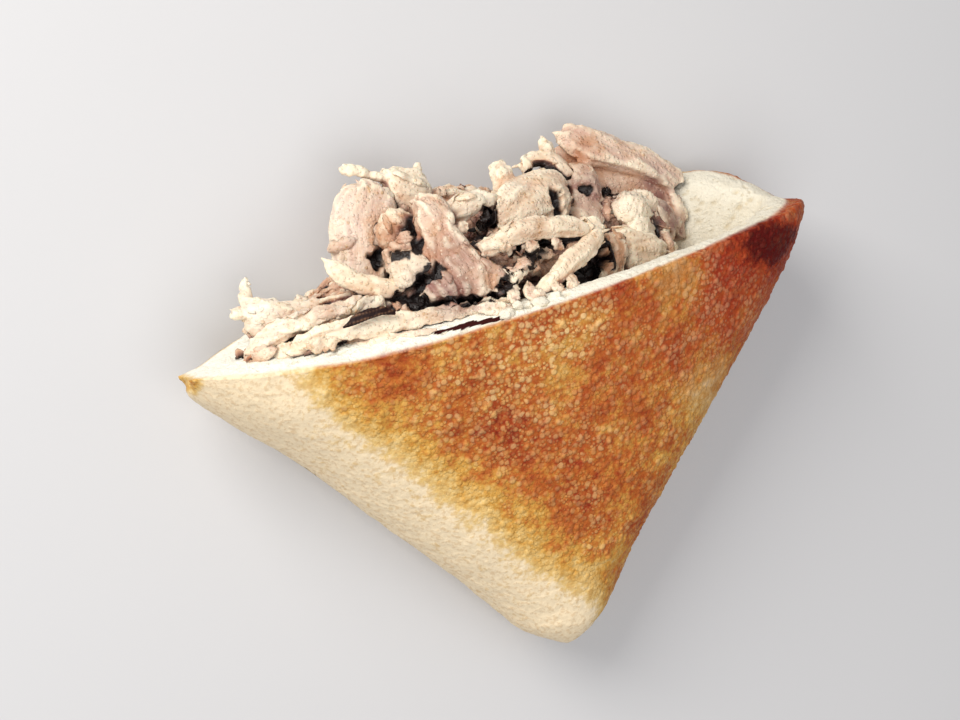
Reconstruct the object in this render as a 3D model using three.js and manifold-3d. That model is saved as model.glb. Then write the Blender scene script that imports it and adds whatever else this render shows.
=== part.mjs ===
// A corner of baked bread, opened along its long edge and stuffed with pulled roast chicken.
// It lies on its paler face, with the browned face up and the open mouth towards +Y.
// Millimetres, +Z up. The origin is on the flat underside, below the point where the food balances.

import * as THREE from 'three';
import { mergeVertices } from 'three/addons/utils/BufferGeometryUtils.js';
import Module from 'manifold-3d';

const wasm = await Module();
wasm.setup();

// ---- Driving dimensions -------------------------------------------------------------------

// The bread, measured from the middle of its mouth.
const MOUTH_LEFT = 74.6;        // mouth's middle to its left end
const MOUTH_RIGHT = 73;         // mouth's middle to its right end
const POCKET_DEPTH = 92.3;      // mouth to where the two closed sides would meet
const CORNER_X = -5.5;          // how far that meeting point lies off the middle
const CORNER_DEPTH = 88.1;      // mouth to the rounded tip
const CORNER_ROUND = 8;         // length of the rounding at the tip
const LEFT_SWELL = 5;           // the left side swells a little just below its end
const RIGHT_SWELL = 7.6;        // the right side bows out, most near the mouth
const CORNER_SWELL = 2.6;       // both sides swell at the tip, which makes it blunt
const CORNER_SWELL_UP = 6;      // how far above the tip that swelling is widest
const CORNER_SWELL_RUN = 11;    // and how far along the side it reaches
const LEFT_SWELL_AT = 5;        // how far below the mouth the left swelling is widest
const LEFT_SWELL_RUN = 12;      // and how far it reaches
const RIGHT_SWELL_SKEW = 0.37;  // below 1, the right side's bow is nearer the mouth than the tip
const SIDE_HALF = 10.5;         // half the bread's thickness along its closed sides
const SIDE_ROUND = 15;          // how far in from a side its rounding reaches
const MOUTH_LIFT = 24.5;        // height of the bread's mid plane at the mouth
const CORNER_LIFT = 10.6;       // height of the mid plane where the sides meet
const TOP_RISE = 14.3;          // how much the stuffed top bulges above the sides at the mouth
const TOP_BACK = 5.5;           // the cut edge of the top wall bows back by this much
const TOP_BACK_X = -26.3;       // where it bows back most
const FLOOR_REACH = 3.3;        // the cut edge of the bottom wall reaches out this far
const FLOOR_TONGUE = 9.7;       // and this much further in a tongue on the right
const FLOOR_TONGUE_X = 54.9;
const FLOOR_DIP = 3;          // and falls back by this much on the left
const FLAT_PRESS = 1;           // how much of the round underside is pressed flat
const UNEVEN = 0.45;            // height of the broad bumps in the crust
const UNEVEN_SIZE = 9;          // and their size
const CROWN_SHAPE = 2.4;        // above 2, the bulge of each wall is flatter than a round arch
const BULGE_FADE = 0.8;         // below 1, the bulge lasts longer on its way to the tip
const CORNER_POINTED = 0.15;    // 0 would make the tip round, and 1 pointed
const LEFT_TIP_SWELL = 0.5;     // the left side has this share of the tip's swelling

// The cut mouth and the hollow behind it.
const WALL_TOP = 6.5;
const WALL_FLOOR = 6;
const END_LEFT = 16;            // solid crumb at the left end of the mouth
const END_RIGHT = 9;            // solid crumb at the right end
const HOLLOW_DEPTH = 66;        // mouth to the bottom of the hollow
const CRUMB_RISE = 4.2;         // the top wall's crumb stands this far out of its crust
const CRUMB_SINK = 2;           // the bottom wall's crumb is this far below its crust
const NOTCH = 2.6;              // the nick where the two walls meet at the left end
const NOTCH_RUN = 2.5;          // and how far it runs back along the side
const HOLLOW_NARROWS = 0.6;     // the share of its width that the hollow loses towards its bottom
const CRUMB_MIDDLE = 0.65;      // the share of CRUMB_RISE in the middle of the mouth
const CRUMB_LEAST = 0.1;        // and at its right end
const CRUMB_CHANGE = 60;        // the width over which that share changes by 1
const CUT_PROUD = 0.7;          // the middle of the cut face stands this far out of its edges
const CUT_UNEVEN = 0.6;         // height of the bumps in the cut face
const CUT_UNEVEN_SIZE = 3.5;    // and their size

// The heap of chicken.
const HEAP_RIGHT = 43;          // the hollow stays free to the right of this
const HEAP_OUT = 14;            // how far the heap's core stands out of the mouth
const HEAP_TOP = 39;            // height of the core at the mouth, on its left
const HEAP_FALL = 0.4;          // and how much it drops for each millimetre to the right
const HEAP_FALL_X = -6;         // from here on
const HEAP_TOP_BACK = 3;        // how much higher the core's top is at the back
const HEAP_OVERLAP = 1.5;       // how far the uncut core reaches into the walls
const SHRED_COUNT = 18;         // small shreds scattered over the core
const SHRED_WIDTH = 3.4;
const SHRED_LEAST_RUN = 0.02;   // half the length of the shortest, as a share of the way round the mouth
const SHRED_LEAST_TURN = 0.12;  // how near the mouth the shreds start, as an angle
const SHRED_TURNS = 1.2;        // and over what angle they spread
const SHRED_SLANT = 0.16;       // the most that a shred's end leaves its middle's angle
const SHRED_PROUD = 0.6;
const MOUND_CREST_X = -8;       // where the mound stands out most
const MOUND_CREST_RUN = 22;     // and how fast it falls away from there
const MOUND_UNEVEN = 0.28;
const LUMP = 1.6;               // height of the mound's lumps
const LUMP_SIZE = 3.2;          // and their size

// Torn pieces.
const CHUNK_ROUGH = 0.5;        // height of the bumps on a chunk
const CHUNK_ROUGH_SIZE = 2.2;
const STRAND_ROUGH = 0.14;      // how much a strand's width varies, as a share of it
const STRAND_ROUGH_SIZE = 1.6;
const STRAND_TAPER = 0.3;       // the share of a strand's length over which an end tapers
const STRAND_CAP = 0.3;         // how far a blunt end bulges, as a share of the thickness

const GAP = 0.3;                // room between pieces that touch
const REST_POINT = 26;          // mouth to the origin, back towards the tip

// How finely the shapes are divided.
const ROUND_STEPS = 22;
const SKIN_STEPS = 19;
const HOLLOW_STEPS = 7;
const HEAP_STEPS = 5;
const EDGE_STEPS = 16;
const STRAND_SIDES = 7;
const SHRED_SIDES = 5;
const STRAND_STEP = 2.8;
const SHRED_STEP = 4;
const LAST_RING = 0.985;         // how near the rings come to a closed end

// ---- Materials ----------------------------------------------------------------------------

const finish = (color, roughness) => new THREE.MeshStandardMaterial({ color, roughness, metalness: 0 });
const crust = finish('#b9772f', 0.65);
const paleMeat = finish('#e3cbb4', 0.55);
const pinkMeat = finish('#d3b3a3', 0.5);
const brownMeat = finish('#a8765a', 0.55);
const darkHerb = finish('#2a1a18', 0.45);

// ---- Small helpers ------------------------------------------------------------------------

const clamp = THREE.MathUtils.clamp;
const lerp = THREE.MathUtils.lerp;

// A hump that is 1 at its peak and 0 at both ends of the mouth.
function hump(x, peak, power) {
  const span = x < peak ? MOUTH_LEFT + peak : MOUTH_RIGHT - peak;
  return 1 - clamp(Math.abs(x - peak) / span, 0, 1) ** power;
}

// A smooth bell, 1 at its peak, that falls to about a third at one `run` from it.
function bell(value, peak, run) {
  return Math.exp(-(((value - peak) / run) ** 2));
}

// Broad smooth bumps, between about -1 and 1, over lengths of roughly `size`.
function bumps(x, y, z, size) {
  const a = Math.sin(x / size + 1.3 * Math.sin(y / size));
  const b = Math.sin((y - 0.6 * z) / size * 1.3 + 1.1 * Math.sin(x / size * 0.8 + 2));
  const c = Math.sin((z + 0.5 * x) / size * 1.7 + 0.7);
  return (a + b + c) / 3;
}

// Closed mesh from rings of equal length, with one point at each end.
function ringSolid(first, rings, last) {
  const points = [first, ...rings.flat(), last];
  const count = rings[0].length;
  const end = points.length - 1;
  const index = [];
  const at = (ring, step) => 1 + ring * count + (step % count);
  for (let step = 0; step < count; step += 1) {
    index.push(0, at(0, step + 1), at(0, step));
    index.push(end, at(rings.length - 1, step), at(rings.length - 1, step + 1));
    for (let ring = 0; ring + 1 < rings.length; ring += 1) {
      index.push(at(ring, step), at(ring, step + 1), at(ring + 1, step + 1));
      index.push(at(ring, step), at(ring + 1, step + 1), at(ring + 1, step));
    }
  }
  const solid = new THREE.BufferGeometry();
  solid.setAttribute('position', new THREE.Float32BufferAttribute(points.flatMap((p) => p.toArray()), 3));
  solid.setIndex(index);
  return facingOut(solid);
}

// Six times the volume that a mesh's triangles enclose: negative where they face in.
function signedVolume(solid) {
  const place = solid.getAttribute('position');
  const corner = [0, 1, 2].map(() => new THREE.Vector3());
  let sum = 0;
  for (let i = 0; i < solid.index.count; i += 3) {
    corner.forEach((c, k) => c.fromBufferAttribute(place, solid.index.getX(i + k)));
    sum += corner[0].dot(corner[1].clone().cross(corner[2]));
  }
  return sum;
}

function facingOut(solid) {
  if (signedVolume(solid) < 0) {
    const turned = Array.from(solid.index.array).reverse();
    solid.setIndex(turned);
  }
  return solid;
}

const vector = (x, y, z) => new THREE.Vector3(x, y, z);

// ---- Joining and cutting ------------------------------------------------------------------

function toManifold(solid) {
  const bare = solid.clone();
  bare.deleteAttribute('normal');
  bare.deleteAttribute('uv');
  const merged = mergeVertices(bare, 1e-4);
  return new wasm.Manifold(new wasm.Mesh({
    numProp: 3,
    vertProperties: new Float32Array(merged.getAttribute('position').array),
    triVerts: new Uint32Array(merged.index.array),
  }));
}

function fromManifold(manifold) {
  const mesh = manifold.getMesh();
  const places = [];
  for (let i = 0; i < mesh.vertProperties.length; i += mesh.numProp) {
    places.push(...mesh.vertProperties.slice(i, i + 3));
  }
  const solid = new THREE.BufferGeometry();
  solid.setAttribute('position', new THREE.Float32BufferAttribute(places, 3));
  solid.setIndex(Array.from(mesh.triVerts));
  return mergeVertices(solid, 1e-4);
}

// The same solid with every point moved outwards.
function grown(solid, amount) {
  const copy = solid.clone();
  copy.computeVertexNormals();
  const place = copy.getAttribute('position');
  const outward = copy.getAttribute('normal');
  for (let i = 0; i < place.count; i += 1) {
    place.setXYZ(i,
      place.getX(i) + outward.getX(i) * amount,
      place.getY(i) + outward.getY(i) * amount,
      place.getZ(i) + outward.getZ(i) * amount);
  }
  return copy;
}

// Keeps the largest of the separate bodies that a cut has left.
function largestBody(solid) {
  const group = Array.from({ length: solid.getAttribute('position').count }, (_, i) => i);
  const root = (i) => {
    let at = i;
    while (group[at] !== at) {
      at = group[at];
    }
    group[i] = at;
    return at;
  };
  const index = Array.from(solid.index.array);
  for (let i = 0; i < index.length; i += 3) {
    group[root(index[i + 1])] = root(index[i]);
    group[root(index[i + 2])] = root(index[i]);
  }
  const bodies = new Map();
  for (let i = 0; i < index.length; i += 3) {
    const key = root(index[i]);
    bodies.set(key, [...(bodies.get(key) ?? []), ...index.slice(i, i + 3)]);
  }
  let best = solid;
  let bestVolume = 0;
  for (const triangles of bodies.values()) {
    const body = solid.clone();
    body.setIndex(triangles);
    const volume = signedVolume(body);
    if (volume > bestVolume) {
      best = body;
      bestVolume = volume;
    }
  }
  return best;
}

// ---- The bread ----------------------------------------------------------------------------

// The bread's plan at a given depth below the mouth.
function plan(depth) {
  const share = depth / POCKET_DEPTH;
  const tipSwell = CORNER_SWELL * bell(depth, CORNER_DEPTH - CORNER_SWELL_UP, CORNER_SWELL_RUN);
  const left = lerp(-MOUTH_LEFT, CORNER_X, share) - LEFT_TIP_SWELL * tipSwell
    - LEFT_SWELL * bell(depth, LEFT_SWELL_AT, LEFT_SWELL_RUN);
  const right = lerp(MOUTH_RIGHT, CORNER_X, share) + tipSwell
    + RIGHT_SWELL * Math.sin(Math.PI * Math.min(share, 1) ** RIGHT_SWELL_SKEW);
  const beyond = clamp((depth - CORNER_DEPTH + CORNER_ROUND) / CORNER_ROUND, 0, 1);
  const closing = Math.sqrt(1 - beyond ** 2);
  const half = (right - left) / 2 * lerp(closing, 1 - beyond, CORNER_POINTED);
  return { middle: (left + right) / 2, half, closing, share };
}

// Heights of the upper and lower skin over a point of the plan.
function skins(x, depth) {
  const { middle, half, closing, share } = plan(depth);
  const across = clamp(Math.abs(x - middle) / half, 0, 1);
  const inset = Math.min(SIDE_ROUND, half);
  const rounding = Math.sqrt(1 - (1 - Math.min(half * (1 - across), inset) / inset) ** 2);
  const level = lerp(MOUTH_LIFT, CORNER_LIFT, share);
  const crown = 1 - across ** CROWN_SHAPE;
  const ripple = UNEVEN * rounding * closing * bumps(x, depth, 0, UNEVEN_SIZE);
  const edgeHalf = SIDE_HALF * rounding * closing;
  const bulge = TOP_RISE * Math.max(0, 1 - share) ** BULGE_FADE * crown;
  const sag = (level - SIDE_HALF + FLAT_PRESS) * closing * crown;
  return {
    top: level + edgeHalf + bulge + ripple,
    bottom: Math.max(0, level - edgeHalf - sag + ripple / 2),
  };
}

// The two cut edges aren't straight: how far each leaves the mouth line.
function topEdge(x) {
  return -TOP_BACK * hump(x, TOP_BACK_X, 2);
}

function floorEdge(x) {
  const leftward = clamp(-x / MOUTH_LEFT, 0, 1);
  const dip = FLOOR_DIP * leftward * Math.sqrt(Math.abs(Math.sin(Math.PI * leftward)));
  return FLOOR_REACH * hump(x, 0, 4) + FLOOR_TONGUE * hump(x, FLOOR_TONGUE_X, 3) - dip;
}

// One closed ring: along the top from left to right, and back along the bottom.
function ringOf(topPoint, bottomPoint) {
  const ring = [];
  for (let step = 0; step <= ROUND_STEPS; step += 1) {
    ring.push(topPoint(Math.sin(Math.PI * (step / ROUND_STEPS - 0.5))));
  }
  for (let step = ROUND_STEPS - 1; step > 0; step -= 1) {
    ring.push(bottomPoint(Math.sin(Math.PI * (step / ROUND_STEPS - 0.5))));
  }
  return ring;
}

function skinRing(depth, extra) {
  const { middle, half } = plan(depth);
  const fade = (1 - depth / CORNER_DEPTH) ** 2;
  const nick = NOTCH * bell(depth, 0, NOTCH_RUN);
  const place = (across, edge, side) => {
    const x = middle + (half + extra) * across;
    const { top, bottom } = skins(middle + half * across, depth);
    const outwards = side * extra * Math.sqrt(1 - across ** 2);
    const z = (side > 0 ? top : bottom) + outwards;
    const nicked = across < -0.999 ? nick : 0;
    return vector(x + nicked, edge(x) * fade - depth, z);
  };
  return ringOf((across) => place(across, topEdge, 1), (across) => place(across, floorEdge, -1));
}

// The hollow's plan and height at a given depth. `spare` makes it narrower all round.
function hollowRing(depth, spare, rightLimit) {
  const { middle, half } = plan(depth);
  const left = middle - half + END_LEFT + spare;
  const right = Math.min(middle + half - END_RIGHT - spare, rightLimit);
  const centre = (left + right) / 2;
  const reach = Math.max((right - left) / 2, 0.5);
  const taper = Math.sqrt(1 - (depth / HOLLOW_DEPTH) ** 4);
  const fade = (1 - depth / CORNER_DEPTH) ** 2;
  const place = (across, side) => {
    const x = centre + reach * across * lerp(1, taper, HOLLOW_NARROWS);
    const { top, bottom } = skins(x, depth);
    const level = (top + bottom) / 2;
    const wall = side > 0 ? top - WALL_TOP - spare : bottom + WALL_FLOOR + spare;
    const z = level + (wall - level) * Math.sqrt(1 - Math.abs(across) ** 3) * taper;
    const edge = side > 0 ? topEdge(x) + crumbRise(x) : floorEdge(x) - CRUMB_SINK;
    const ends = (topEdge(x) + floorEdge(x)) / 2;
    const y = lerp(ends, edge, Math.sqrt(1 - across ** 4)) * fade - depth;
    return vector(x, y, z);
  };
  return ringOf((across) => place(across, 1), (across) => place(across, -1));
}

// The top wall's crumb stands out most on the left.
function crumbRise(x) {
  return CRUMB_RISE * clamp(CRUMB_MIDDLE - x / CRUMB_CHANGE, CRUMB_LEAST, 1);
}

// The uneven middle of the cut face, between the crust's edge and the hollow's.
function rimRing(outer, inner) {
  return outer.map((point, i) => {
    const between = point.clone().lerp(inner[i], 0.5);
    between.y += CUT_PROUD + CUT_UNEVEN * bumps(between.x, between.y, between.z, CUT_UNEVEN_SIZE);
    return between;
  });
}

// Height halfway between the two skins, in the middle of the plan.
function midHeight(depth) {
  const { top, bottom } = skins(plan(depth).middle, depth);
  return (top + bottom) / 2;
}

// The whole bread. `extra` thickens it all round, to leave room beside it.
function breadSolid(extra) {
  const skin = Array.from({ length: SKIN_STEPS + 1 }, (_, i) => (
    skinRing(CORNER_DEPTH * LAST_RING * (1 - i / SKIN_STEPS), extra)));
  const hollow = Array.from({ length: HOLLOW_STEPS }, (_, i) => (
    hollowRing(HOLLOW_DEPTH * i / HOLLOW_STEPS, extra, MOUTH_RIGHT)));
  const cut = rimRing(skin[SKIN_STEPS], hollow[0]);
  [skin[SKIN_STEPS], cut, ...hollow].flat().forEach((point) => { point.y += extra; });

  const tip = vector(plan(CORNER_DEPTH).middle, -CORNER_DEPTH - extra, CORNER_LIFT);
  const depth = HOLLOW_DEPTH * LAST_RING;
  const bottomOfHollow = vector(plan(depth).middle, -depth + extra, midHeight(depth));
  return ringSolid(tip, [...skin, cut, ...hollow], bottomOfHollow);
}

// ---- The heap's core ----------------------------------------------------------------------

// The core fills the hollow, except for a space under the top wall on the right.
function heapRing(depth) {
  const shallow = (1 - depth / HOLLOW_DEPTH) ** 2;
  const ring = hollowRing(depth, -HEAP_OVERLAP, HEAP_RIGHT);
  ring.forEach((point) => {
    const fall = HEAP_FALL * Math.max(0, point.x - HEAP_FALL_X) * shallow;
    point.z = Math.min(point.z, HEAP_TOP + HEAP_TOP_BACK * (1 - shallow) - fall);
  });
  return ring;
}

const heapMouth = heapRing(0);
const heapCentre = new THREE.Box3().setFromPoints(heapMouth).getCenter(vector(0, 0, 0));

// A point of the mound. `around` follows the mouth, and `turn` goes from the mouth to the mound's top.
function moundPoint(around, turn) {
  const step = (around % 1) * heapMouth.length;
  const from = heapMouth[Math.floor(step)];
  const to = heapMouth[(Math.floor(step) + 1) % heapMouth.length];
  const point = from.clone().lerp(to, step % 1);
  const crest = Math.cos((point.x - MOUND_CREST_X) / MOUND_CREST_RUN);
  const out = HEAP_OUT * Math.sin(turn) * lerp(1, crest, MOUND_UNEVEN);
  const x = lerp(heapCentre.x, point.x, Math.cos(turn));
  const z = lerp(heapCentre.z, point.z, Math.cos(turn));
  const lump = LUMP * bumps(x, out, z, LUMP_SIZE);
  return vector(x, point.y + out + lump, z + lump);
}

// It fills the hollow from its bottom to the mouth, and stands out of it as a low mound.
function heapSolid() {
  const rings = [];
  for (let step = HOLLOW_STEPS - 1; step > 0; step -= 1) {
    rings.push(heapRing(HOLLOW_DEPTH * step / HOLLOW_STEPS));
  }
  for (let step = 0; step < HEAP_STEPS; step += 1) {
    rings.push(heapMouth.map((_, i) => moundPoint(i / heapMouth.length, Math.PI / 2 * step / HEAP_STEPS)));
  }
  const deep = HOLLOW_DEPTH * LAST_RING;
  const start = vector(plan(deep).middle, -deep, midHeight(deep));
  return ringSolid(start, rings, moundPoint(0, Math.PI / 2));
}

// ---- Torn chicken -------------------------------------------------------------------------

// A chunk's rounded side: heights, as shares of half its thickness, and the share of its outline left there.
const CHUNK_LAYERS = [[-0.92, 0.55], [-0.62, 0.87], [0, 1], [0.62, 0.87], [0.92, 0.55]];

// A thick torn piece: an outline of [x, y, z] points, rounded off above and below it.
function chunk(outline, thick) {
  const curve = new THREE.CatmullRomCurve3(outline.map((p) => vector(...p)), true, 'centripetal');
  const edge = curve.getSpacedPoints(EDGE_STEPS).slice(0, -1);
  const centre = edge.reduce((sum, p) => sum.add(p), vector(0, 0, 0)).divideScalar(edge.length);
  const face = vector(0, 0, 0);
  edge.forEach((p, i) => {
    const next = edge[(i + 1) % edge.length];
    face.add(p.clone().sub(centre).cross(next.clone().sub(centre)));
  });
  face.normalize().multiplyScalar(Math.sign(face.z) || 1);
  const rings = CHUNK_LAYERS.map(([height, size]) => edge.map((p) => {
    const point = centre.clone().lerp(p, size).addScaledVector(face, height * thick / 2);
    return point.addScaledVector(face, CHUNK_ROUGH * bumps(point.x, point.y, point.z, CHUNK_ROUGH_SIZE));
  }));
  const below = centre.clone().addScaledVector(face, -thick / 2);
  const above = centre.clone().addScaledVector(face, thick / 2);
  return ringSolid(below, rings, above);
}

// A torn strand along a smooth path, wider than thick. A blunt end is 1, a pointed one near 0.
function strand(path, wide, thick, startBlunt, endBlunt, sides = STRAND_SIDES, stepLength = STRAND_STEP) {
  const curve = new THREE.CatmullRomCurve3(path.map((p) => vector(...p)), false, 'centripetal');
  const steps = Math.max(4, Math.round(curve.getLength() / stepLength));
  const rings = [];
  for (let step = 0; step <= steps; step += 1) {
    const share = step / steps;
    const centre = curve.getPointAt(share);
    const along = curve.getTangentAt(share);
    const side = vector(0, 0, 1).cross(along).normalize();
    const up = along.clone().cross(side);
    const nearStart = lerp(startBlunt, 1, Math.sqrt(clamp(share / STRAND_TAPER, 0, 1)));
    const nearEnd = lerp(endBlunt, 1, Math.sqrt(clamp((1 - share) / STRAND_TAPER, 0, 1)));
    const rough = STRAND_ROUGH * bumps(centre.x, centre.y, centre.z, STRAND_ROUGH_SIZE);
    const size = nearStart * nearEnd * (1 + rough);
    const ring = [];
    for (let k = 0; k < sides; k += 1) {
      const turn = 2 * Math.PI * k / sides;
      ring.push(centre.clone()
        .addScaledVector(side, Math.cos(turn) * size * wide / 2)
        .addScaledVector(up, Math.sin(turn) * size * thick / 2));
    }
    rings.push(ring);
  }
  const cap = STRAND_CAP * thick;
  const start = curve.getPointAt(0).addScaledVector(curve.getTangentAt(0), -cap * startBlunt);
  const end = curve.getPointAt(1).addScaledVector(curve.getTangentAt(1), cap * endBlunt);
  return ringSolid(start, rings, end);
}

// Pieces in the order in which they keep their shape: each is cut back from those before it.
const pieces = [
  {
    name: 'chunk_middle',
    look: pinkMeat,
    shapes: [
      chunk([[-20, 25, 33], [-15, 25, 33], [-11, 21, 34], [-13, 16, 36], [-10, 9, 39], [-20, 9, 38],
        [-21, 17, 35], [-20, 21, 34]], 8),
      chunk([[-20, 12, 37], [-12, 13, 38], [-9, 8, 40], [-5, 3, 41], [-9, 0, 41], [-16, 1, 41], [-22, 2, 41],
        [-26, 4, 39], [-23, 8, 38]], 8),
      chunk([[-20, 16, 35], [-19, 11, 37], [-25, 11, 35], [-29, 12, 34], [-29, 15, 33], [-25, 17, 34]], 6),
      strand([[-10, 4, 41], [-7, 3.5, 41.5], [-4, 5.2, 42]], 3.4, 2.4, 1, 0.1),
      strand([[-13, 15, 36], [-11, 15.5, 37], [-9, 17, 37.5]], 3, 2.2, 1, 0.1),
    ],
  },
  { name: 'strand_pale', look: paleMeat, shapes: [
    strand([[-42.5, 17.5, 33], [-39.5, 13.5, 34], [-36, 10, 35], [-31, 7.5, 36], [-25, 6, 35]],
      5.2, 2.6, 0.15, 1)] },
  { name: 'finger_upper', look: paleMeat, shapes: [
    strand([[-10.5, 9.5, 40], [-5, 11, 40.5], [1, 12, 40.5], [7, 11, 39.5], [16.5, 8.5, 37.5]],
      5, 4.2, 0.55, 0.7)] },
  { name: 'finger_curved', look: paleMeat, shapes: [
    strand([[-1, -4, 42], [5, 0, 42.5], [10, 2.5, 41], [15, 4, 39], [19, 6, 37], [20.5, 10, 34]],
      5, 4, 0.7, 0.5)] },
  { name: 'herb_strip', look: darkHerb, shapes: [
    strand([[-44.5, 3, 44.4], [-40, 4.2, 44.8], [-36, 4.4, 45], [-32.5, 3, 44.8]], 2.6, 1.3, 0.3, 0.5)] },
  { name: 'strip_long', look: paleMeat, shapes: [
    strand([[-56, 0.6, 37.5], [-49, 2, 40], [-42, 2.2, 41.7], [-35, 1, 42], [-28, -0.6, 42.4], [-21, -1, 43],
      [-14, -2, 43.3], [-6, -3.4, 42.4]], 5.6, 3.2, 0.4, 0.8)] },
  { name: 'strip_front', look: pinkMeat, shapes: [
    strand([[-63, -1, 33], [-61.5, 3, 33.5], [-56, 5, 34.5], [-49, 5.4, 36], [-41, 5.6, 37], [-33, 5.4, 37]],
      5, 4.4, 0.5, 0.6)] },
  { name: 'slab_left', look: pinkMeat, shapes: [
    chunk([[-60, 8.5, 17], [-58, 13, 16], [-52, 9.5, 16], [-46, 8.5, 16.5], [-39, 7, 19], [-31, 4, 23],
      [-37, -1, 26], [-48, -2, 24], [-57, 2, 20]], 6),
    strand([[-57, 10, 16], [-57, 13.5, 15], [-55.6, 16.6, 14]], 3.2, 2.8, 1, 0.1),
    strand([[-58, 9, 17], [-60, 9.5, 17], [-61.8, 11, 16.6]], 2.6, 2.2, 1, 0.15)] },
  { name: 'slab_upright', look: paleMeat, shapes: [
    chunk([[-37, 20, 22], [-34.5, 27, 21], [-31, 30.5, 20], [-26, 31, 20], [-21, 29, 20], [-19.5, 25, 21],
      [-22, 20, 22], [-25, 14, 24], [-29, 6, 27], [-36, 7, 26], [-37.5, 14, 23]], 5.5)] },
  { name: 'chunk_top', look: paleMeat, shapes: [
    chunk([[-19.5, 32, 17], [-14, 31, 16], [-10.5, 29, 16], [-10, 25, 17], [-12, 18, 20], [-19, 18, 21],
      [-20.5, 25, 19]], 6),
    strand([[-30, 34.3, 19], [-26, 33.2, 18.5], [-21, 30.5, 18], [-16, 27, 18]], 2.6, 2.2, 0.6, 1),
    strand([[-14, 28, 17], [-11.5, 29.5, 16.5], [-10.6, 31.2, 16]], 2.4, 2, 1, 0.15)] },
  { name: 'branch_cream', look: paleMeat, shapes: [
    strand([[-14, 17, 29], [-9, 19, 30], [-4, 20, 29.5], [2, 18, 27]], 6, 4.6, 0.8, 0.6)] },
  { name: 'lump_brown', look: brownMeat, shapes: [
    chunk([[-27, 21, 26], [-22, 23, 26], [-17.5, 20, 27], [-18, 13, 28.5], [-25, 12, 28.5],
      [-28, 16, 27]], 8)] },
  { name: 'strip_back', look: brownMeat, shapes: [
    strand([[-12, 21.5, 14], [-6, 22.5, 12.5], [0, 20, 12], [5, 15, 14]], 5.6, 5, 0.6, 0.6)] },
  { name: 'chunk_upper', look: paleMeat, shapes: [
    chunk([[8, 22, 21], [17, 22.5, 18], [22, 19, 18], [21.5, 14, 21], [17, 9, 25], [8, 9, 29], [-1, 11, 30],
      [-6, 14, 29], [-3, 18, 28], [2, 21, 25]], 9),
    strand([[4, 17, 25], [6, 22, 22.5], [5.8, 26.6, 21]], 6, 5, 1, 0.55)] },
  { name: 'flake_upper', look: paleMeat, shapes: [
    strand([[13, 24.5, 16.5], [16, 25.2, 16.5], [20, 24, 16.5], [23, 19, 17.5]], 4.6, 4.4, 0.4, 0.9),
    strand([[19.5, 22, 16.5], [20.5, 26, 16], [20, 29.6, 15.5]], 3.6, 3.4, 1, 0.4),
    strand([[13, 20, 19], [14, 23, 18], [13.6, 26.6, 17]], 3, 3, 1, 0.5)] },
  { name: 'strip_tan', look: brownMeat, shapes: [
    chunk([[20, 6, 31], [26, 5, 30], [28, 0, 30], [23, -6, 32], [19, -6, 33], [18.5, 0, 33]], 5)] },
  { name: 'piece_beige', look: paleMeat, shapes: [
    chunk([[28, 5, 26], [34, 3, 25], [40, -1, 24], [38, -6, 25], [30, -8, 28], [26, -5, 29]], 7)] },
  { name: 'chunk_back', look: pinkMeat, shapes: [
    chunk([[24, 29.5, 13], [27, 31, 12.5], [34, 27.5, 11.5], [42, 22.5, 11], [49, 17.5, 11], [55.5, 10.5, 11],
      [55, 6, 12], [51, 6, 13], [44, 13, 15], [35, 18, 16], [27, 22, 16]], 7.5),
    chunk([[24, 26, 11], [34, 25, 10.5], [46, 18, 11], [52, 9, 12], [50, 0, 13], [40, -3, 14], [28, 4, 14],
      [22, 14, 13]], 5),
    chunk([[24, 22, 16], [30, 20, 16], [30, 12, 17.5], [27, 4, 20], [20, 5, 21], [20, 14, 18]], 7),
    chunk([[30, 10, 18], [37, 12, 17], [44, 9, 16], [48, 3, 15.5], [44, -4, 17], [36, -3, 19],
      [29, 2, 20]], 8),
    chunk([[47, 13, 12], [53, 12, 12], [55.5, 7, 12], [54, 0, 12], [49, -4, 13], [46, -1, 15],
      [48, 6, 14]], 6)] },
];

// Small shreds that lie on the heap, fused to its core.
const shreds = [
  strand([[-9, -2, 42], [-6, 1, 42.5], [-3, 3.5, 42], [1, 5, 40], [2, 2, 36]], 3.4, 3, 0.7, 1),
  strand([[-9, -5, 41], [-5, -3.5, 43], [-2, -3.5, 43.4], [2, -5.5, 42]], 3.4, 2.6, 0.7, 0.8),
  strand([[3, -6, 42], [7, -4.5, 41.5], [11, -4, 40.5], [14, -5, 39]], 2.6, 2.2, 0.6, 0.4),
  strand([[2, 2, 36], [4, 5.5, 37.5], [6, 6, 38], [8, 4, 37]], 4, 3.6, 1, 0.6),
  strand([[-31, 5, 36], [-29.5, 2.5, 39], [-27.5, 0.5, 40.5]], 2, 1.8, 1, 0.5),
  strand([[-24, 0, 40], [-21, 0.5, 41], [-17, 0, 41], [-13, 0, 40]], 3.6, 2.6, 0.6, 0.6),
  strand([[-44, 8, 29], [-38, 7, 31], [-33, 6, 33]], 4, 3.4, 0.6, 0.8),
];

// Evenly spread numbers between 0 and 1: the `number`th on a way with the given stride.
const spread = (number, stride) => (number * stride) % 1;

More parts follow.
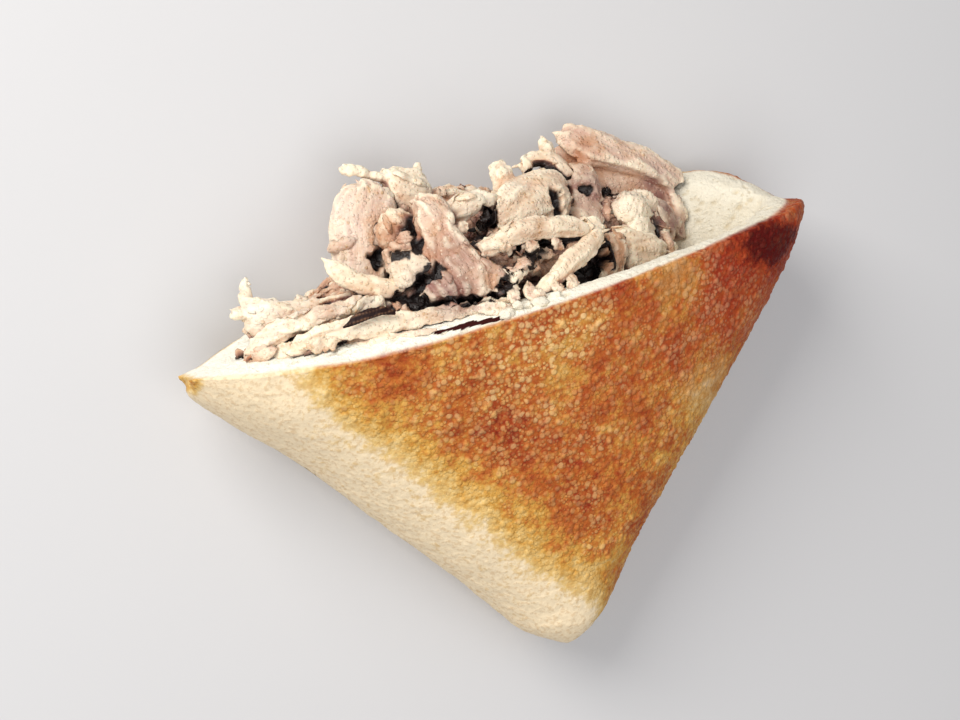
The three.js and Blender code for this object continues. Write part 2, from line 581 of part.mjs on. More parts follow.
// Strips that lie all over the mound, each along it and a little proud of it.
function scatteredShreds() {
  return Array.from({ length: SHRED_COUNT }, (_, i) => {
    const around = spread(i, 0.618);
    const turn = SHRED_LEAST_TURN + SHRED_TURNS * spread(i, 0.37);
    const run = SHRED_LEAST_RUN * (1 + spread(i, 0.29));
    const path = [-1, 0, 1].map((end) => {
      const point = moundPoint(around + 1 + end * run, turn + end * SHRED_SLANT * Math.cos(i));
      return [point.x, point.y + SHRED_PROUD, point.z];
    });
    const wide = SHRED_WIDTH * lerp(0.7, 1.2, spread(i, 0.43));
    return strand(path, wide, 0.8 * wide, 0.5, 0.5, SHRED_SIDES, SHRED_STEP);
  });
}

// Deep gaps between the pieces.
const gaps = [
  { at: [13, -1, 40], size: [8, 4.5, 9] },
  { at: [-3, 8, 37], size: [6, 4, 6] },
  { at: [0, 15, 37], size: [8, 4, 9] },
  { at: [-12, 0, 38], size: [9, 3, 5] },
  { at: [-26, 15, 31], size: [5, 4, 5] },
];

function cutGaps(manifold, less) {
  return gaps.reduce((rest, { at, size }) => {
    const ball = new THREE.SphereGeometry(1, 9, 6);
    ball.scale(...size.map((reach) => reach - less));
    ball.translate(...at);
    return rest.subtract(toManifold(ball));
  }, manifold);
}

// ---- Putting it together ------------------------------------------------------------------

const group = new THREE.Group();

function place(name, solid, look) {
  const mesh = new THREE.Mesh(solid, look);
  mesh.name = name;
  mesh.position.y = REST_POINT;
  group.add(mesh);
}

const bread = breadSolid(0);
place('bread', bread, crust);

// What is placed first keeps its shape. What comes later is cut back from it, a little enlarged.
let around = toManifold(breadSolid(GAP));
const core = cutGaps(toManifold(heapSolid()), 0).subtract(around);
const coreRoom = cutGaps(toManifold(grown(heapSolid(), GAP)), GAP);

for (const { name, look, shapes } of pieces) {
  const whole = shapes.map(toManifold).reduce((sum, shape) => sum.add(shape));
  place(name, largestBody(fromManifold(whole.subtract(around).subtract(coreRoom))), look);
  const room = shapes.map((shape) => toManifold(grown(shape, GAP)));
  around = room.reduce((sum, shape) => sum.add(shape), around);
}

const strips = [...shreds, ...scatteredShreds()].map(toManifold).reduce((sum, strip) => sum.add(strip));
place('filling', largestBody(fromManifold(core.add(strips.subtract(around)))), pinkMeat);

export default group;
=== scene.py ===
# A corner of baked bread, opened along its long edge and stuffed with torn roast chicken.
# It lies on its paler face. The form is worked out in millimetres from the middle of the mouth,
# with +X along the mouth, +Y out of it and +Z up, and is set into the fixed frame at the end.

import itertools
import math

import bpy
import numpy as np
from mathutils import Matrix, Vector
from mathutils.bvhtree import BVHTree


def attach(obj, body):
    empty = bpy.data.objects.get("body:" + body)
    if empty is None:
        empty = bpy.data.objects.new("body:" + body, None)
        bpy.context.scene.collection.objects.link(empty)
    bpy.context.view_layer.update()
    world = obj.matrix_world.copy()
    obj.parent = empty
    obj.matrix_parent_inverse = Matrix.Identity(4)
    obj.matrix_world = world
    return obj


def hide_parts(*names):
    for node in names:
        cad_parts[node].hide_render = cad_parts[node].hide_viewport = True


bl_info = {
    "name": "Stuffed Bread Pocket",
    "version": (1, 0, 0),
    "blender": (4, 5, 0),
    "location": "3D View > Sidebar > Pocket",
    "description": "Bakes a bread pocket and stuffs it with torn roast chicken",
    "category": "Object",
}

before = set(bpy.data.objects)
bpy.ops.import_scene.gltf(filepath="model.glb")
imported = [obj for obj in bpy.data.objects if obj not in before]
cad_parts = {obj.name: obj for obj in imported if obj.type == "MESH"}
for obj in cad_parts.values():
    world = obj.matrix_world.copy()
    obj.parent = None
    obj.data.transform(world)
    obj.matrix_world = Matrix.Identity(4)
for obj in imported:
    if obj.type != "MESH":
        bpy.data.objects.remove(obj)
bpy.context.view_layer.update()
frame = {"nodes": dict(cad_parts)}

MM = 0.001
REST_POINT = 26.0           # from the middle of the mouth back to the frame's origin

# ---- The bread's form, in millimetres -------------------------------------------------------

MOUTH_LEFT = 74.6
MOUTH_RIGHT = 73.0
POCKET_DEPTH = 92.3
CORNER_X = -5.5
CORNER_DEPTH = 88.1
CORNER_ROUND = 8.0
CORNER_POINTED = 0.15
CORNER_SWELL = 2.6
CORNER_SWELL_UP = 6.0
CORNER_SWELL_RUN = 11.0
LEFT_TIP_SWELL = 0.5
LEFT_SWELL = 5.0
LEFT_SWELL_AT = 5.0
LEFT_SWELL_RUN = 12.0
RIGHT_SWELL = 7.6
RIGHT_SWELL_SKEW = 0.37
SIDE_HALF = 10.5
SIDE_ROUND = 15.0
MOUTH_LIFT = 24.5
CORNER_LIFT = 10.6
TOP_RISE = 14.3
BULGE_FADE = 0.8
CROWN_SHAPE = 2.4
TOP_BACK = 5.5
TOP_BACK_X = -26.3
FLOOR_REACH = 3.3
FLOOR_TONGUE = 9.7
FLOOR_TONGUE_X = 54.9
FLOOR_DIP = 3.0
FLAT_PRESS = 1.0
UNEVEN = 0.45
UNEVEN_SIZE = 9.0
WALL_TOP = 6.5
WALL_FLOOR = 6.0
END_LEFT = 16.0
END_RIGHT = 9.0
HOLLOW_DEPTH = 66.0
HOLLOW_NARROWS = 0.6
CRUMB_RISE = 4.2
CRUMB_MIDDLE = 0.65
CRUMB_LEAST = 0.1
CRUMB_CHANGE = 60.0
CRUMB_SINK = 2.0
CUT_PROUD = 0.7
CUT_UNEVEN = 0.6
CUT_UNEVEN_SIZE = 3.5
NOTCH = 2.6
NOTCH_RUN = 2.5
NOTCH_SPREAD = 0.03         # share of the width over which the notch fades
LIP_ROUNDS_X = (34.0, 50.0)  # where along the mouth the hollow's edge becomes round
LIP_PASSES = 160
LAST_RING = 0.999           # how near the rings come to a closed end

# How toasted the upper face is, by the distance in from its left side: 0 is pale, 1 dark red-brown.
TOAST_ACROSS = (0.0, 8.0, 13.0, 18.0, 24.0, 32.0, 45.0, 60.0)
TOAST_LEVELS = (0.0, 0.03, 0.16, 0.37, 0.53, 0.66, 0.71, 0.67)

# Spots that are more or less toasted than that: x, distance from the mouth, reach and change.
TOAST_SPOTS = (
    (0.0, 3.0, 6.0, 0.14),
    (16.0, 6.0, 5.0, 0.12),
    (-16.0, 28.0, 7.0, 0.16),
    (33.0, 22.0, 8.0, 0.1),
    (6.0, 10.0, 6.0, -0.1),
    (9.0, 17.0, 5.0, 0.08),
    (-8.0, 35.0, 6.0, 0.1),
    (-36.0, 3.0, 7.0, 0.1),
    (31.0, 1.0, 11.0, -0.28),
    (0.0, 22.0, 6.0, -0.12),
    (-25.0, 8.0, 6.0, -0.14),
    (33.0, 9.0, 5.0, -0.1),
    (-62.0, 4.0, 10.0, -0.32),
    (8.0, 68.0, 6.0, -0.14),
    (-4.0, 78.0, 8.0, -0.2),
    (46.0, 8.0, 10.0, 0.16),
    (60.0, 7.0, 5.5, 0.46),
    (53.0, 5.0, 7.0, 0.12),
    (63.0, 14.0, 5.0, 0.14),
    (40.0, 36.0, 12.0, -0.2),
    (24.0, 52.0, 10.0, -0.1),
    (37.0, 34.0, 8.0, -0.16),
    (-27.0, 26.0, 5.0, 0.1),
    (6.0, 12.0, 5.0, -0.06),
    (67.0, 7.0, 4.0, 0.3),
    (32.0, 19.0, 7.0, -0.09),
    (-78.0, 1.0, 3.5, 0.6),
)

# Where the small blisters show the most: x, distance from the mouth, reach and strength.
DOTTY_SPOTS = (
    (-15.0, 17.0, 9.0, 0.8),
    (-2.0, 12.0, 8.0, 0.7),
    (7.0, 11.0, 6.0, 0.8),
    (-8.0, 26.0, 7.0, 0.4),
    (20.0, 18.0, 6.0, 0.3),
)

# How much redder the crust turns towards the right: the distance along the mouth and the share.
# In the crumb the same share paints shade, which darkens it towards the right.
RED_ACROSS = (-30.0, 0.0, 25.0, 45.0, 60.0)
RED_LEVELS = (0.0, 0.3, 0.65, 0.9, 1.0)
RED_FADE = (24.0, 50.0)     # the depths over which the red gives way

RIM_FADE = (0.0, 0.3)       # shares of the half width over which the upper face's toasting fades below

# Streaks of painted shade that darken the crumb under the shreds' lower edges: two ends and the reach.
SHRED_SHADOWS = (
    ((-25.0, -3.4, 45.6), (-11.0, -4.3, 48.0), 0.7),
    ((-20.0, -3.5, 46.5), (-13.0, -4.0, 47.8), 0.95),
)

# Crumbs that lie on the cut edge: x, y, z and width.
CRUMBS = (
    (-9.4, -3.9, 47.8, 3.4),
    (-6.6, -2.6, 47.4, 2.6),
    (-1.2, -3.6, 46.9, 3.8),
    (3.0, -3.2, 46.3, 2.8),
)

# ---- The chicken -----------------------------------------------------------------------------

# Each torn piece: its node, its finish, how many loose bits and flat flakes it has, how rough it
# is, how creamy (above 0) or rosy (below 0), and how dark the painted shade turns it where it is crowded.
TORN_PIECES = (
    ("chunk_middle", "meat_pink", 14, 10, 0.8, 0.1, 1.0),
    ("strand_pale", "meat_pale", 2, 0, 0.2, 0.25, 1.0),
    ("finger_upper", "meat_pale", 4, 5, 0.55, 0.35, 1.0),
    ("finger_curved", "meat_pale", 3, 2, 0.35, 0.3, 1.0),
    ("strip_long", "meat_pale", 8, 6, 0.6, 0.4, 0.6),
    ("strip_front", "meat_pink", 8, 6, 0.7, 0.6, 0.6),
    ("slab_left", "meat_pink", 6, 10, 0.5, 0.95, 0.8),
    ("slab_upright", "meat_pale", 6, 3, 0.2, -0.9, 0.6),
    ("chunk_top", "meat_pale", 5, 6, 0.5, 0.6, 1.0),
    ("branch_cream", "meat_pale", 4, 2, 0.5, 0.7, 1.0),
    ("lump_brown", "meat_brown", 4, 3, 0.8, 0.0, 1.0),
    ("strip_back", "meat_brown", 4, 3, 0.6, 0.0, 1.0),
    ("chunk_upper", "meat_pale", 8, 7, 0.6, 0.5, 1.0),
    ("flake_upper", "meat_pale", 6, 3, 0.7, 0.5, 1.0),
    ("strip_tan", "meat_brown", 5, 3, 0.7, 0.0, 0.8),
    ("piece_beige", "meat_pale", 4, 3, 0.45, 0.3, 0.8),
    ("chunk_back", "meat_pink", 6, 3, 0.45, -0.5, 0.5),
)

FILLING_TINT = 0.15
# How strongly painted shade darkens the packed filling where it is crowded.
FILLING_GLOOM = 1.0
TORN_SEED = 100             # added to the seed for the torn pieces

# Places where the meat is browned, or painted mauve as shade, or hollowed and painted dark as shade: x, y,
# z, reach and strength.
BROWN_SPOTS = (
    (27.4, 22.1, 14.2, 6.0, 0.75),
    (-26.5, 16.0, 34.0, 6.5, 0.75),
    (29.0, 24.0, 16.0, 6.0, 0.7),
    (2.0, 9.5, 41.5, 6.0, 0.35),
    (-43.0, 7.4, 36.0, 3.0, 0.6),
    (-16.0, 22.0, 30.0, 5.0, 0.5),
    (-62.3, 0.6, 33.8, 2.6, 0.9),
    (-45.5, 7.7, 37.1, 3.4, 0.6),
    (-24.0, 14.5, 37.6, 2.6, 0.35),
    (7.0, 5.6, 37.0, 4.0, 0.5),
    (16.0, 6.0, 36.0, 3.6, 0.35),
    (21.5, 0.7, 34.2, 4.0, 0.4),
    (-7.8, 4.4, 43.1, 2.4, 0.3),
)
MAUVE_SHADE_SPOTS = (
    (-18.6, 3.0, 43.4, 6.0, 1.0),
    (-22.6, 6.9, 41.6, 4.5, 0.95),
    (-17.0, 10.0, 42.0, 7.5, 0.6),
    (23.0, 16.4, 19.6, 4.0, 0.9),
    (28.0, 14.6, 20.4, 4.5, 0.95),
    (33.5, 12.4, 18.6, 4.0, 0.9),
    (44.8, 12.0, 14.8, 3.0, 1.0),
    (45.9, 8.6, 14.8, 3.2, 1.0),
    (44.8, 5.4, 19.0, 3.2, 1.0),
    (45.6, 1.4, 18.8, 3.2, 1.0),
    (48.0, -2.4, 14.8, 3.0, 1.0),
    (-4.5, 14.8, 29.6, 4.0, 0.7),
)

# Gaps between the pieces, that are hollowed and painted black as shade: two ends and the reach.
DARK_GAPS = (
    ((-28.0, 14.0, 36.6), (-24.6, 13.4, 37.6), 1.3),
    ((-22.6, 13.4, 38.0), (-21.8, 17.0, 37.0), 1.3),
    ((-28.6, 13.0, 26.3), (-25.0, 14.6, 27.0), 2.6),
    ((-25.6, 5.4, 38.6), (-20.8, 9.0, 41.0), 2.2),
    ((-6.6, 12.6, 28.0), (-2.4, 15.6, 30.4), 2.8),
    ((-3.6, 5.6, 40.0), (5.4, 6.6, 38.6), 2.4),
    ((-6.6, 0.8, 43.2), (-5.4, 4.6, 41.0), 1.9),
    ((12.0, -3.6, 32.6), (19.2, 1.4, 31.6), 4.6),
    ((16.2, 16.6, 26.6), (15.4, 11.4, 28.0), 2.0),
    ((24.8, 15.6, 20.9), (26.4, 15.0, 21.1), 1.3),
    ((-20.4, 1.6, 43.0), (-10.6, -1.0, 44.2), 1.2),
    ((-29.0, 4.4, 36.6), (-24.2, 3.6, 40.2), 1.7),
)

# Shreds and lobes that bridge the gaps or reach over the cut edge: start, bend, end, width and
# how creamy (above 0) or rosy (below 0) each is.
BRIDGES = (
    ((-4.0, 2.0, 41.0), (-6.4, -0.6, 45.6), (-7.0, -2.6, 46.8), 3.2, 0.3),
    ((-1.0, 1.0, 42.0), (-2.0, -1.4, 45.6), (0.5, -3.0, 46.4), 3.4, 0.1),
    ((4.5, 0.5, 41.5), (4.0, -1.8, 45.0), (6.0, -3.4, 45.6), 2.8, 0.1),
    ((9.0, 1.0, 40.5), (8.4, -1.8, 44.0), (6.5, -2.6, 45.4), 3.0, 0.2),
    ((-16.0, -0.8, 45.2), (-11.0, -2.2, 46.6), (-7.5, -2.4, 46.9), 3.4, 0.5),
    ((-45.0, -0.4, 38.4), (-39.0, -1.3, 42.0), (-32.0, -2.1, 44.4), 2.2, 0.3),
    ((-34.0, -1.8, 43.6), (-30.0, -2.3, 45.0), (-25.0, -2.8, 46.0), 1.8, 0.3),
    ((-60.5, 0.8, 33.0), (-55.0, 0.9, 36.8), (-47.5, 0.4, 40.2), 4.0, 0.4),
    ((-64.4, -0.2, 31.8), (-62.0, 1.4, 34.4), (-57.6, 2.2, 36.8), 4.5, 0.1),
    ((-29.2, 11.9, 33.4), (-26.0, 11.9, 36.6), (-20.8, 10.4, 39.6), 6.5, 0.7),
    ((-29.3, 8.6, 35.2), (-26.8, 9.4, 37.8), (-23.4, 9.9, 38.6), 5.0, 0.5),
    ((-3.6, 11.4, 41.4), (-2.6, 8.9, 40.6), (-1.6, 7.4, 38.6), 3.0, 0.2),
    ((1.6, 9.6, 41.2), (2.6, 7.4, 40.6), (3.0, 6.4, 38.8), 3.2, 0.1),
    ((7.7, 8.6, 40.4), (8.4, 6.4, 39.8), (8.6, 5.4, 38.4), 3.0, 0.1),
    ((30.6, 10.2, 21.5), (34.4, 8.4, 23.4), (40.4, 5.4, 21.6), 8.0, -0.6),
    ((31.2, 5.9, 23.4), (34.6, 3.5, 24.6), (39.6, 0.2, 21.6), 7.0, -0.6),
    ((35.6, 10.1, 19.6), (38.9, 9.2, 21.2), (42.6, 5.3, 19.4), 5.0, -0.6),
)
BRIDGE_UP = (-0.15, 0.25, 0.95)     # the way that their flatter side faces
# How strongly painted shade darkens the bridges where they are crowded.
BRIDGE_GLOOM = 0.55

# How closely packed the surroundings of a surface are, from which painted shade turns it warm, mauve and
# black.
CROWD_CELL = 1.0            # the size of the cells in which they are counted
CROWD_REACH = 3             # how many cells on either side
CROWD_LIFT = 2.4            # how far above the surface
CROWD_STEP = 0.001          # from one face that a column crosses towards the next

# How strongly folds and ridges count in the painted shade and highlights, and over how many points they
# are measured.
DEEP_SCALE = 4.0
DEEP_ROUNDS = (16, 2)

# ---- Unevenness ------------------------------------------------------------------------------

# Kinds of noise: each has a strength, a size in millimetres, a number of layers and a seed.
TOAST_CHANGE = ((0.12, 11.0, 3, 50), (0.04, 4.5, 1, 52))
TOAST_CHANGE_BELOW = ((0.26, 20.0, 3, 40),)
RED_CHANGE = ((0.5, 8.0, 2, 55),)
SKIN_WAVES = ((0.35, 6.0, 3, 20),)
SKIN_GRAINS = ((0.1, 0.9, 1, 30), (0.08, 1.7, 1, 31))
CRUMB_WAVES = ((0.3, 2.4, 3, 65),)
CRUMB_GRAINS = ((0.12, 0.7, 1, 67),)
STREAK_EDGES = ((0.4, 1.7, 1, 98), (0.2, 0.8, 1, 99))
CHIPPED_EDGES = ((0.1, 0.3, 1, 96),)
FIBRE_WANDER = tuple((1.6, 9.0, 1, seed) for seed in (70, 71, 72))
SHEETS = ((2.6, 3.6, 2, 80),)
STRANDS = ((1.0, 0.95, 1, 81),)
LUMPS = ((0.8, 4.5, 2, 82),)
GRIT = ((1.0, 0.7, 1, 83),)
FOLDS = ((1.0, 6.0, 1, 88),)
FRAYED_BUNDLES = ((1.5, 1.3, 1, 85),)
RAGGED_RIDGES = ((0.7, 1.9, 1, 86), (0.4, 1.0, 1, 87))
HERB_WRINKLES = ((1.0, 0.55, 1, 90),)

# Turns that keep the noise's cells from lining up with the pieces.
TILT = np.array(((0.36, 0.48, -0.8), (-0.8, 0.6, 0.0), (0.48, 0.64, 0.6)))
TURN = np.array(((1.0, 0.0, 0.0), (0.0, 0.8, 0.6), (0.0, -0.6, 0.8)))

# Round spots: a seed, the least width and how much more the widest have, as shares of the spacing,
# the share of a spot that is level, and the share of the cells that have none.
BLISTER_SPOTS = (3, 0.2, 0.38, 0.35, 0.2)
PORE_SPOTS = (60, 0.15, 0.35, 0.5, 0.55)

# The crust
BELOW_TOAST = 0.26          # how toasted the underside is on the whole
TOAST_CHANGES = (0.05, 0.4)  # from where to where its toasting begins to be uneven
RED_LEAST = 0.75            # how red the crust is before the change
RED_FADES_BY = 0.8          # how much of the red is lost towards the tip
PALE_BLISTERS = 0.25        # how much of the blisters' height the pale crust has
PALE_GRAINS = 0.55          # and how much of the fine grains'
BLISTER_HEIGHTS = (0.6, 0.6)  # the least, and how much more the highest have
CRUMB_STRETCH = (0.5, 1.0, 1.0)  # pores are longer along the mouth
CUT_FADE = (0.02, 0.16)     # shares of the cut face over which the crust gives way to crumb
HOLLOW_SMOOTHER = 0.6       # how much of the relief the hollow loses
GROUND_FADE = (0.0, 0.5)    # heights over which the relief gives way to the flat underside
HOLLOW_BUNCHED = 1.7        # how much closer the hollow's rings are near the mouth
LIP_FIRST = 2               # the first ring of the cut face that the rounded lip changes

# Crumbs of bread
CRUMB_TURNS, CRUMB_LEVELS = 26, 14
CRUMB_FLATS = 14
CRUMB_CHIP = 0.72           # how far in the chipped flats lie
CRUMB_SHAPE = (0.6, 0.44, 0.4)
STREAK_FADE = (0.6, 1.1)

# Torn meat. What rough meat has more of is given as a pair: on smooth meat, and the rest.
# The stretches say how much longer a form is along the fibres than across them.
SHEET_STRETCH = (3.2, 1.0, 1.0)
FOLD_STRETCH = (1.8, 1.0, 1.0)
STRAND_STRETCH = (6.0, 1.0, 1.0)
FRAYED_STRETCH = (0.12, 1.0, 1.0)
SHEET_EDGE = (0.7, 1.0)     # the part of a sheet's width that steps down to the next
SHEET_HEIGHT = 0.4
FOLD_WIDTH = (0.0, 0.16)
FOLD_DEPTH = 1.2
BUNDLE_SPACING, BUNDLE_SEED = 1.9, 84
BUNDLE_ROUND = 0.5          # how far from its middle a bundle sinks below the rest
BUNDLE_RANGE = (0.7, 0.9)   # the least bundle, and how much more the largest has
BUNDLE_HEIGHT = (0.25, 1.3)
STRAND_HEIGHT = (0.15, 0.3)
GRIT_HEIGHT = (0.08, 0.3)
FRAYED_FROM = (0.72, 1.0)   # shares of the half length
FRAYED_LEAST = 0.4
RAGGED_LEAST = 0.15
RIDGE_ROUNDS = 14           # how widely a ridge is measured
RIDGE_FROM = (0.05, 0.35)   # the heights over which it becomes ragged
PIECE_PROUD = 0.1           # how far a piece stands out from its solid
PIECE_ROUNDS = 3            # smoothing
FILLING_STEP = 0.6
FILLING_ROUGH = 1.3
FILLING_DEEPER = 0.3        # how much darker the core's painted shade is than a fold of a piece
FILLING_BACK = -8.0         # how far inside the mouth the small shreds begin
FILLING_FACING = 0.2        # how much they face out or up
BRIDGE_RINGS, BRIDGE_SIDES = 48, 24
BRIDGE_JAGGED = 0.1
BRIDGE_THICK = 0.55         # as a share of the width
BRIDGE_ROUGH = 0.7

# Loose bits
BIT_RINGS, BIT_SIDES = 7, 6
BIT_LENGTHS = (1.0, 2.8)
BIT_RADII = (0.28, 0.62)
BIT_TAPER = 0.8
BIT_FLATNESS = 0.55
BIT_OUTWARD = 0.45
BIT_SPREAD = 0.3
BIT_DROOP = 0.2
BIT_ROOT = 0.5              # how deep it is set in
BIT_DEEP = -0.2             # it is coloured as a ridge, which is painted lighter as a highlight
BIT_BESIDE = 0.15           # how often a bit stands beside a piece, next to 1 at its ends
BIT_GRAIN_APART = 3.7       # so that no two bits have the same fibres
ASIDE = (0.31, 0.52, 0.79)  # a way that no bit points

# Flakes and shreds
FLAKE_LENGTHS, FLAKE_WIDTHS = (3.0, 9.0), (1.2, 3.4)
FLAKE_SPREAD = ((1.0,), (0.3,), (0.3,))
SHRED_LENGTHS, SHRED_WIDTHS = (3.0, 11.0), (1.0, 3.6)
SHRED_SPREAD = (1.0, 0.55, 0.5)
SHRED_THICKS = (0.2, 0.4)   # as shares of the width
SHRED_LIFT, SHRED_CURL, SHRED_LIFT_CHANGE = 0.1, 0.35, 0.3  # off the surface
SHRED_POINTS = 5            # on a shred's path
SHRED_RINGS, SHRED_SIDES = 15, 9
SHRED_JAGGED = 0.4
SHRED_ENDS = (0.05, 0.35)   # widths of the torn ends, as shares
SHRED_SWELL = 2.6           # how soon a shred has its full width
SHRED_DEEP = -0.1
SHRED_GRAIN_APART = 5.3

# The herb
HERB_STEP = 0.2
HERB_ROUNDS = 2
HERB_STRETCH = (0.35, 1.0, 1.0)
HERB_ROW, HERB_BEAD = 1.3, 0.8  # the spacing of its rows, and of the beads along them
HERB_ROW_WAVE, HERB_BEAD_WAVE = 0.8, 2.0
HERB_BEADS = (0.6, 0.4)     # a row's height, and how much the beads change it
HERB_HEIGHT, HERB_WRINKLE = 0.12, 0.08
HERB_SINK = 0.1
HERB_DEEP = 4

# ---- Finishes --------------------------------------------------------------------------------

# The sockets of a colour mix that take the share and the two colours, and the one that gives the result.
COLOUR_MIX_SOCKETS = (0, 6, 7)
COLOUR_MIX_RESULT = 2

DOT_CORE = 0.45             # how much of a dot is full, before it fades
PATCH_CONTRAST = (0.28, 0.72)  # where in the noise a patch begins and is full

# Round dots: spacing in millimetres, and the smallest and largest as shares of it.
SMALL_DOTS = (1.45, 0.42, 0.72)
TINY_DOTS = (0.85, 0.4, 0.72)
CRUMB_PORES = (1.5, 0.05, 0.4)
MEAT_SPECKS = (0.9, 0.2, 0.65)
# The next dots are painted glints on the meat.
MEAT_GLINTS = (0.6, 0.2, 0.6)

# Soft patches, and fibres by their width and length, in millimetres.
CRUST_PATCHES = (3.4, 11.0, 1.1)
MEAT_PATCHES = (6.0, 3.5)
FLOOR_PATCH = 400.0
MEAT_FIBRES = (0.7, 5.0)
HERB_FIBRES = (0.35, 3.0)

# The noise inside the shared fibres and patches, and how much coarser the fibres' tone is.
FINE_FIBRES = {"Detail": 3.0, "Roughness": 0.6, "Distortion": 0.3}
BROAD_FIBRES = {"Detail": 2.0}
PATCH_NOISE = {"Detail": 4.0, "Roughness": 0.62}
TONE_COARSER = 0.3

# The meat's finishes by slot: the material's name, its colour and how speckled it is.
MEAT_FINISHES = {
    "meat_pale": ("pale_chicken", "pale", 0.8),
    "meat_pink": ("pink_chicken", "pink", 0.85),
    "meat_brown": ("roast_chicken", "tan", 0.5),
}

# The values that each surface keeps at its points.
CRUST_VALUES = ("toast", "crumb", "blister", "red", "dotty", "stain")
MEAT_VALUES = ("deep", "crowd", "tint", "mauve", "brown", "dark")

# The crust's colours by how toasted it is.
CRUST_TONES = (
    (0.07, "pale"), (0.27, "straw"), (0.46, "gold"), (0.64, "orange"), (0.84, "brown"), (1.0, "dark"))

# Where a finish changes: from, to and, unless they are 0 and 1, its values there.
TOASTED = (0.1, 0.45)
RED_WEAKENS = (0.8, 1.05, 0.7, 0.1)
SMALL_SHOWN = (0.0, 1.0, 0.15, 0.85)
TINY_SHOWN = (0.0, 1.0, 0.1, 0.75)
TOPS_FADE = (0.74, 0.98, 1.0, 0.1)
TOPS_PATCHY = (0.15, 0.9, 0.1, 0.44)
PALE_TOPS = (0.5, 1.0)
PALE_MOTTLED = (0.45, 0.95, 0.0, 0.5)
SHRED_SHADOWED = (0.3, 0.75)
CRUST_ROUGH = (0.0, 1.0, 0.5, 0.72)
FIBRE_TONES = (0.35, 0.65)
SPECKS_SHOWN = (0.3, 0.9, 0.2, 0.7)
GLINTS_SHOWN = (0.6, 1.0, 0.0, 0.4)
GOLDEN_PATCHES = (0.45, 0.95)
WARM_SHADE_PATCHY = (0.0, 1.0, 0.5, 0.9)
DARKER_PATCHY = (0.0, 1.0, 0.6, 1.0)
# Painted shade turns crowded meat warm, then mauve, then black, and turns folds warm and dark; ridges are
# painted lighter as highlights.
CROWD_WARM_SHADE = (0.13, 0.26)
CROWD_MAUVE_SHADE = (0.21, 0.34)
CROWD_BLACK = (0.28, 0.43, 0.0, 0.99)
FOLD_WARM_SHADE = (0.2, 1.7, 0.0, 0.6)
FOLD_DARK = (1.0, 3.2)
GAP_BLACK = (0.1, 0.7, 0.0, 0.99)
RIDGES = (-0.15, -1.1)
MEAT_ROUGH = (0.2, 0.8, 0.36, 0.6)
HERB_RIDGES = (0.1, -0.8)
HERB_ROUGH = (0.2, 0.8, 0.3, 0.55)

# How strongly each effect shows.
CLOUDY = 0.24
SPECKLED = 0.15
BLISTERS_SHOWN = 0.9
TOPS_DOTTY = 0.6
ROSY_TOPS = 0.8
PORES_SHOWN = 0.35
PITS_SHOWN = 0.5
CRUMB_CLOUDY = 0.18
CRUMB_SHADED = 0.4
CRUMB_ROUGH = 0.9
SPECK_HEIGHT = 0.35
CRUST_SHEEN = 0.15
MEAT_TANNED = 0.4
FIBRES_LIT = 0.3
GOLDEN_LEAST = 0.3
RIDGES_LIT = 0.55
MAUVE_SHADE_MOST = 0.9
MAUVE_RIDGES_LIT = 0.2
FOLD_DARK_MOST = 0.8
MEAT_GLOW = 0.12
MEAT_GLOW_REACH = (1.0, 0.45, 0.3)
MEAT_GLOW_SCALE = 1.2       # millimetres
FIBRE_HEIGHT = 0.7
SPECKS_HEIGHT = 0.5
HERB_RIDGES_LIT = 0.4
HERB_SHEEN = 0.2
FLOOR_DARKER = 0.985
FLOOR_ROUGH = 0.85

# Depths of the finest unevenness, in millimetres.
CRUST_BUMP = 0.25
MEAT_BUMP = 0.3
HERB_BUMP = 0.2

# ---- The lights and the camera, in the frame, in millimetres ----------------------------------

# Each light's place, width and colour.
KEY_LIGHT = ((-330.0, 460.0, 420.0), 420.0, (1.0, 0.97, 0.92))
FILL_LIGHT = ((-140.0, -160.0, 620.0), 500.0, (1.0, 0.98, 0.96))
SKY_COLOUR = (0.96, 0.97, 1.0, 1.0)

# The camera's place, and the ways of its right, its top and its back.
CAMERA_PLACE = (-134.38, 72.63, 425.54)
CAMERA_RIGHT = (0.91403, -0.24939, 0.31993)
CAMERA_UP = (0.28241, 0.95738, -0.06052)
CAMERA_BACK = (-0.2912, 0.14567, 0.94551)
CAMERA_LENS = 70.0
SENSOR_WIDTH = 36.0
CAMERA_NEAR = 10.0


def linear(red, green, blue):
    """The linear colour of a screen colour given from 0 to 255."""
    def channel(value):
        value /= 255.0
        return value / 12.92 if value <= 0.04045 else ((value + 0.055) / 1.055) ** 2.4
    return channel(red), channel(green), channel(blue)


# ---- Settings --------------------------------------------------------------------------------

def colour_property(name, description, screen):
    return bpy.props.FloatVectorProperty(
        name=name, description=description, subtype="COLOR", size=3, min=0.0, max=1.0,
        default=linear(*screen))


def length_property(name, description, millimetres):
    return bpy.props.FloatProperty(
        name=name, description=description, subtype="DISTANCE", unit="LENGTH", min=0.0,
        default=millimetres * MM, precision=5)


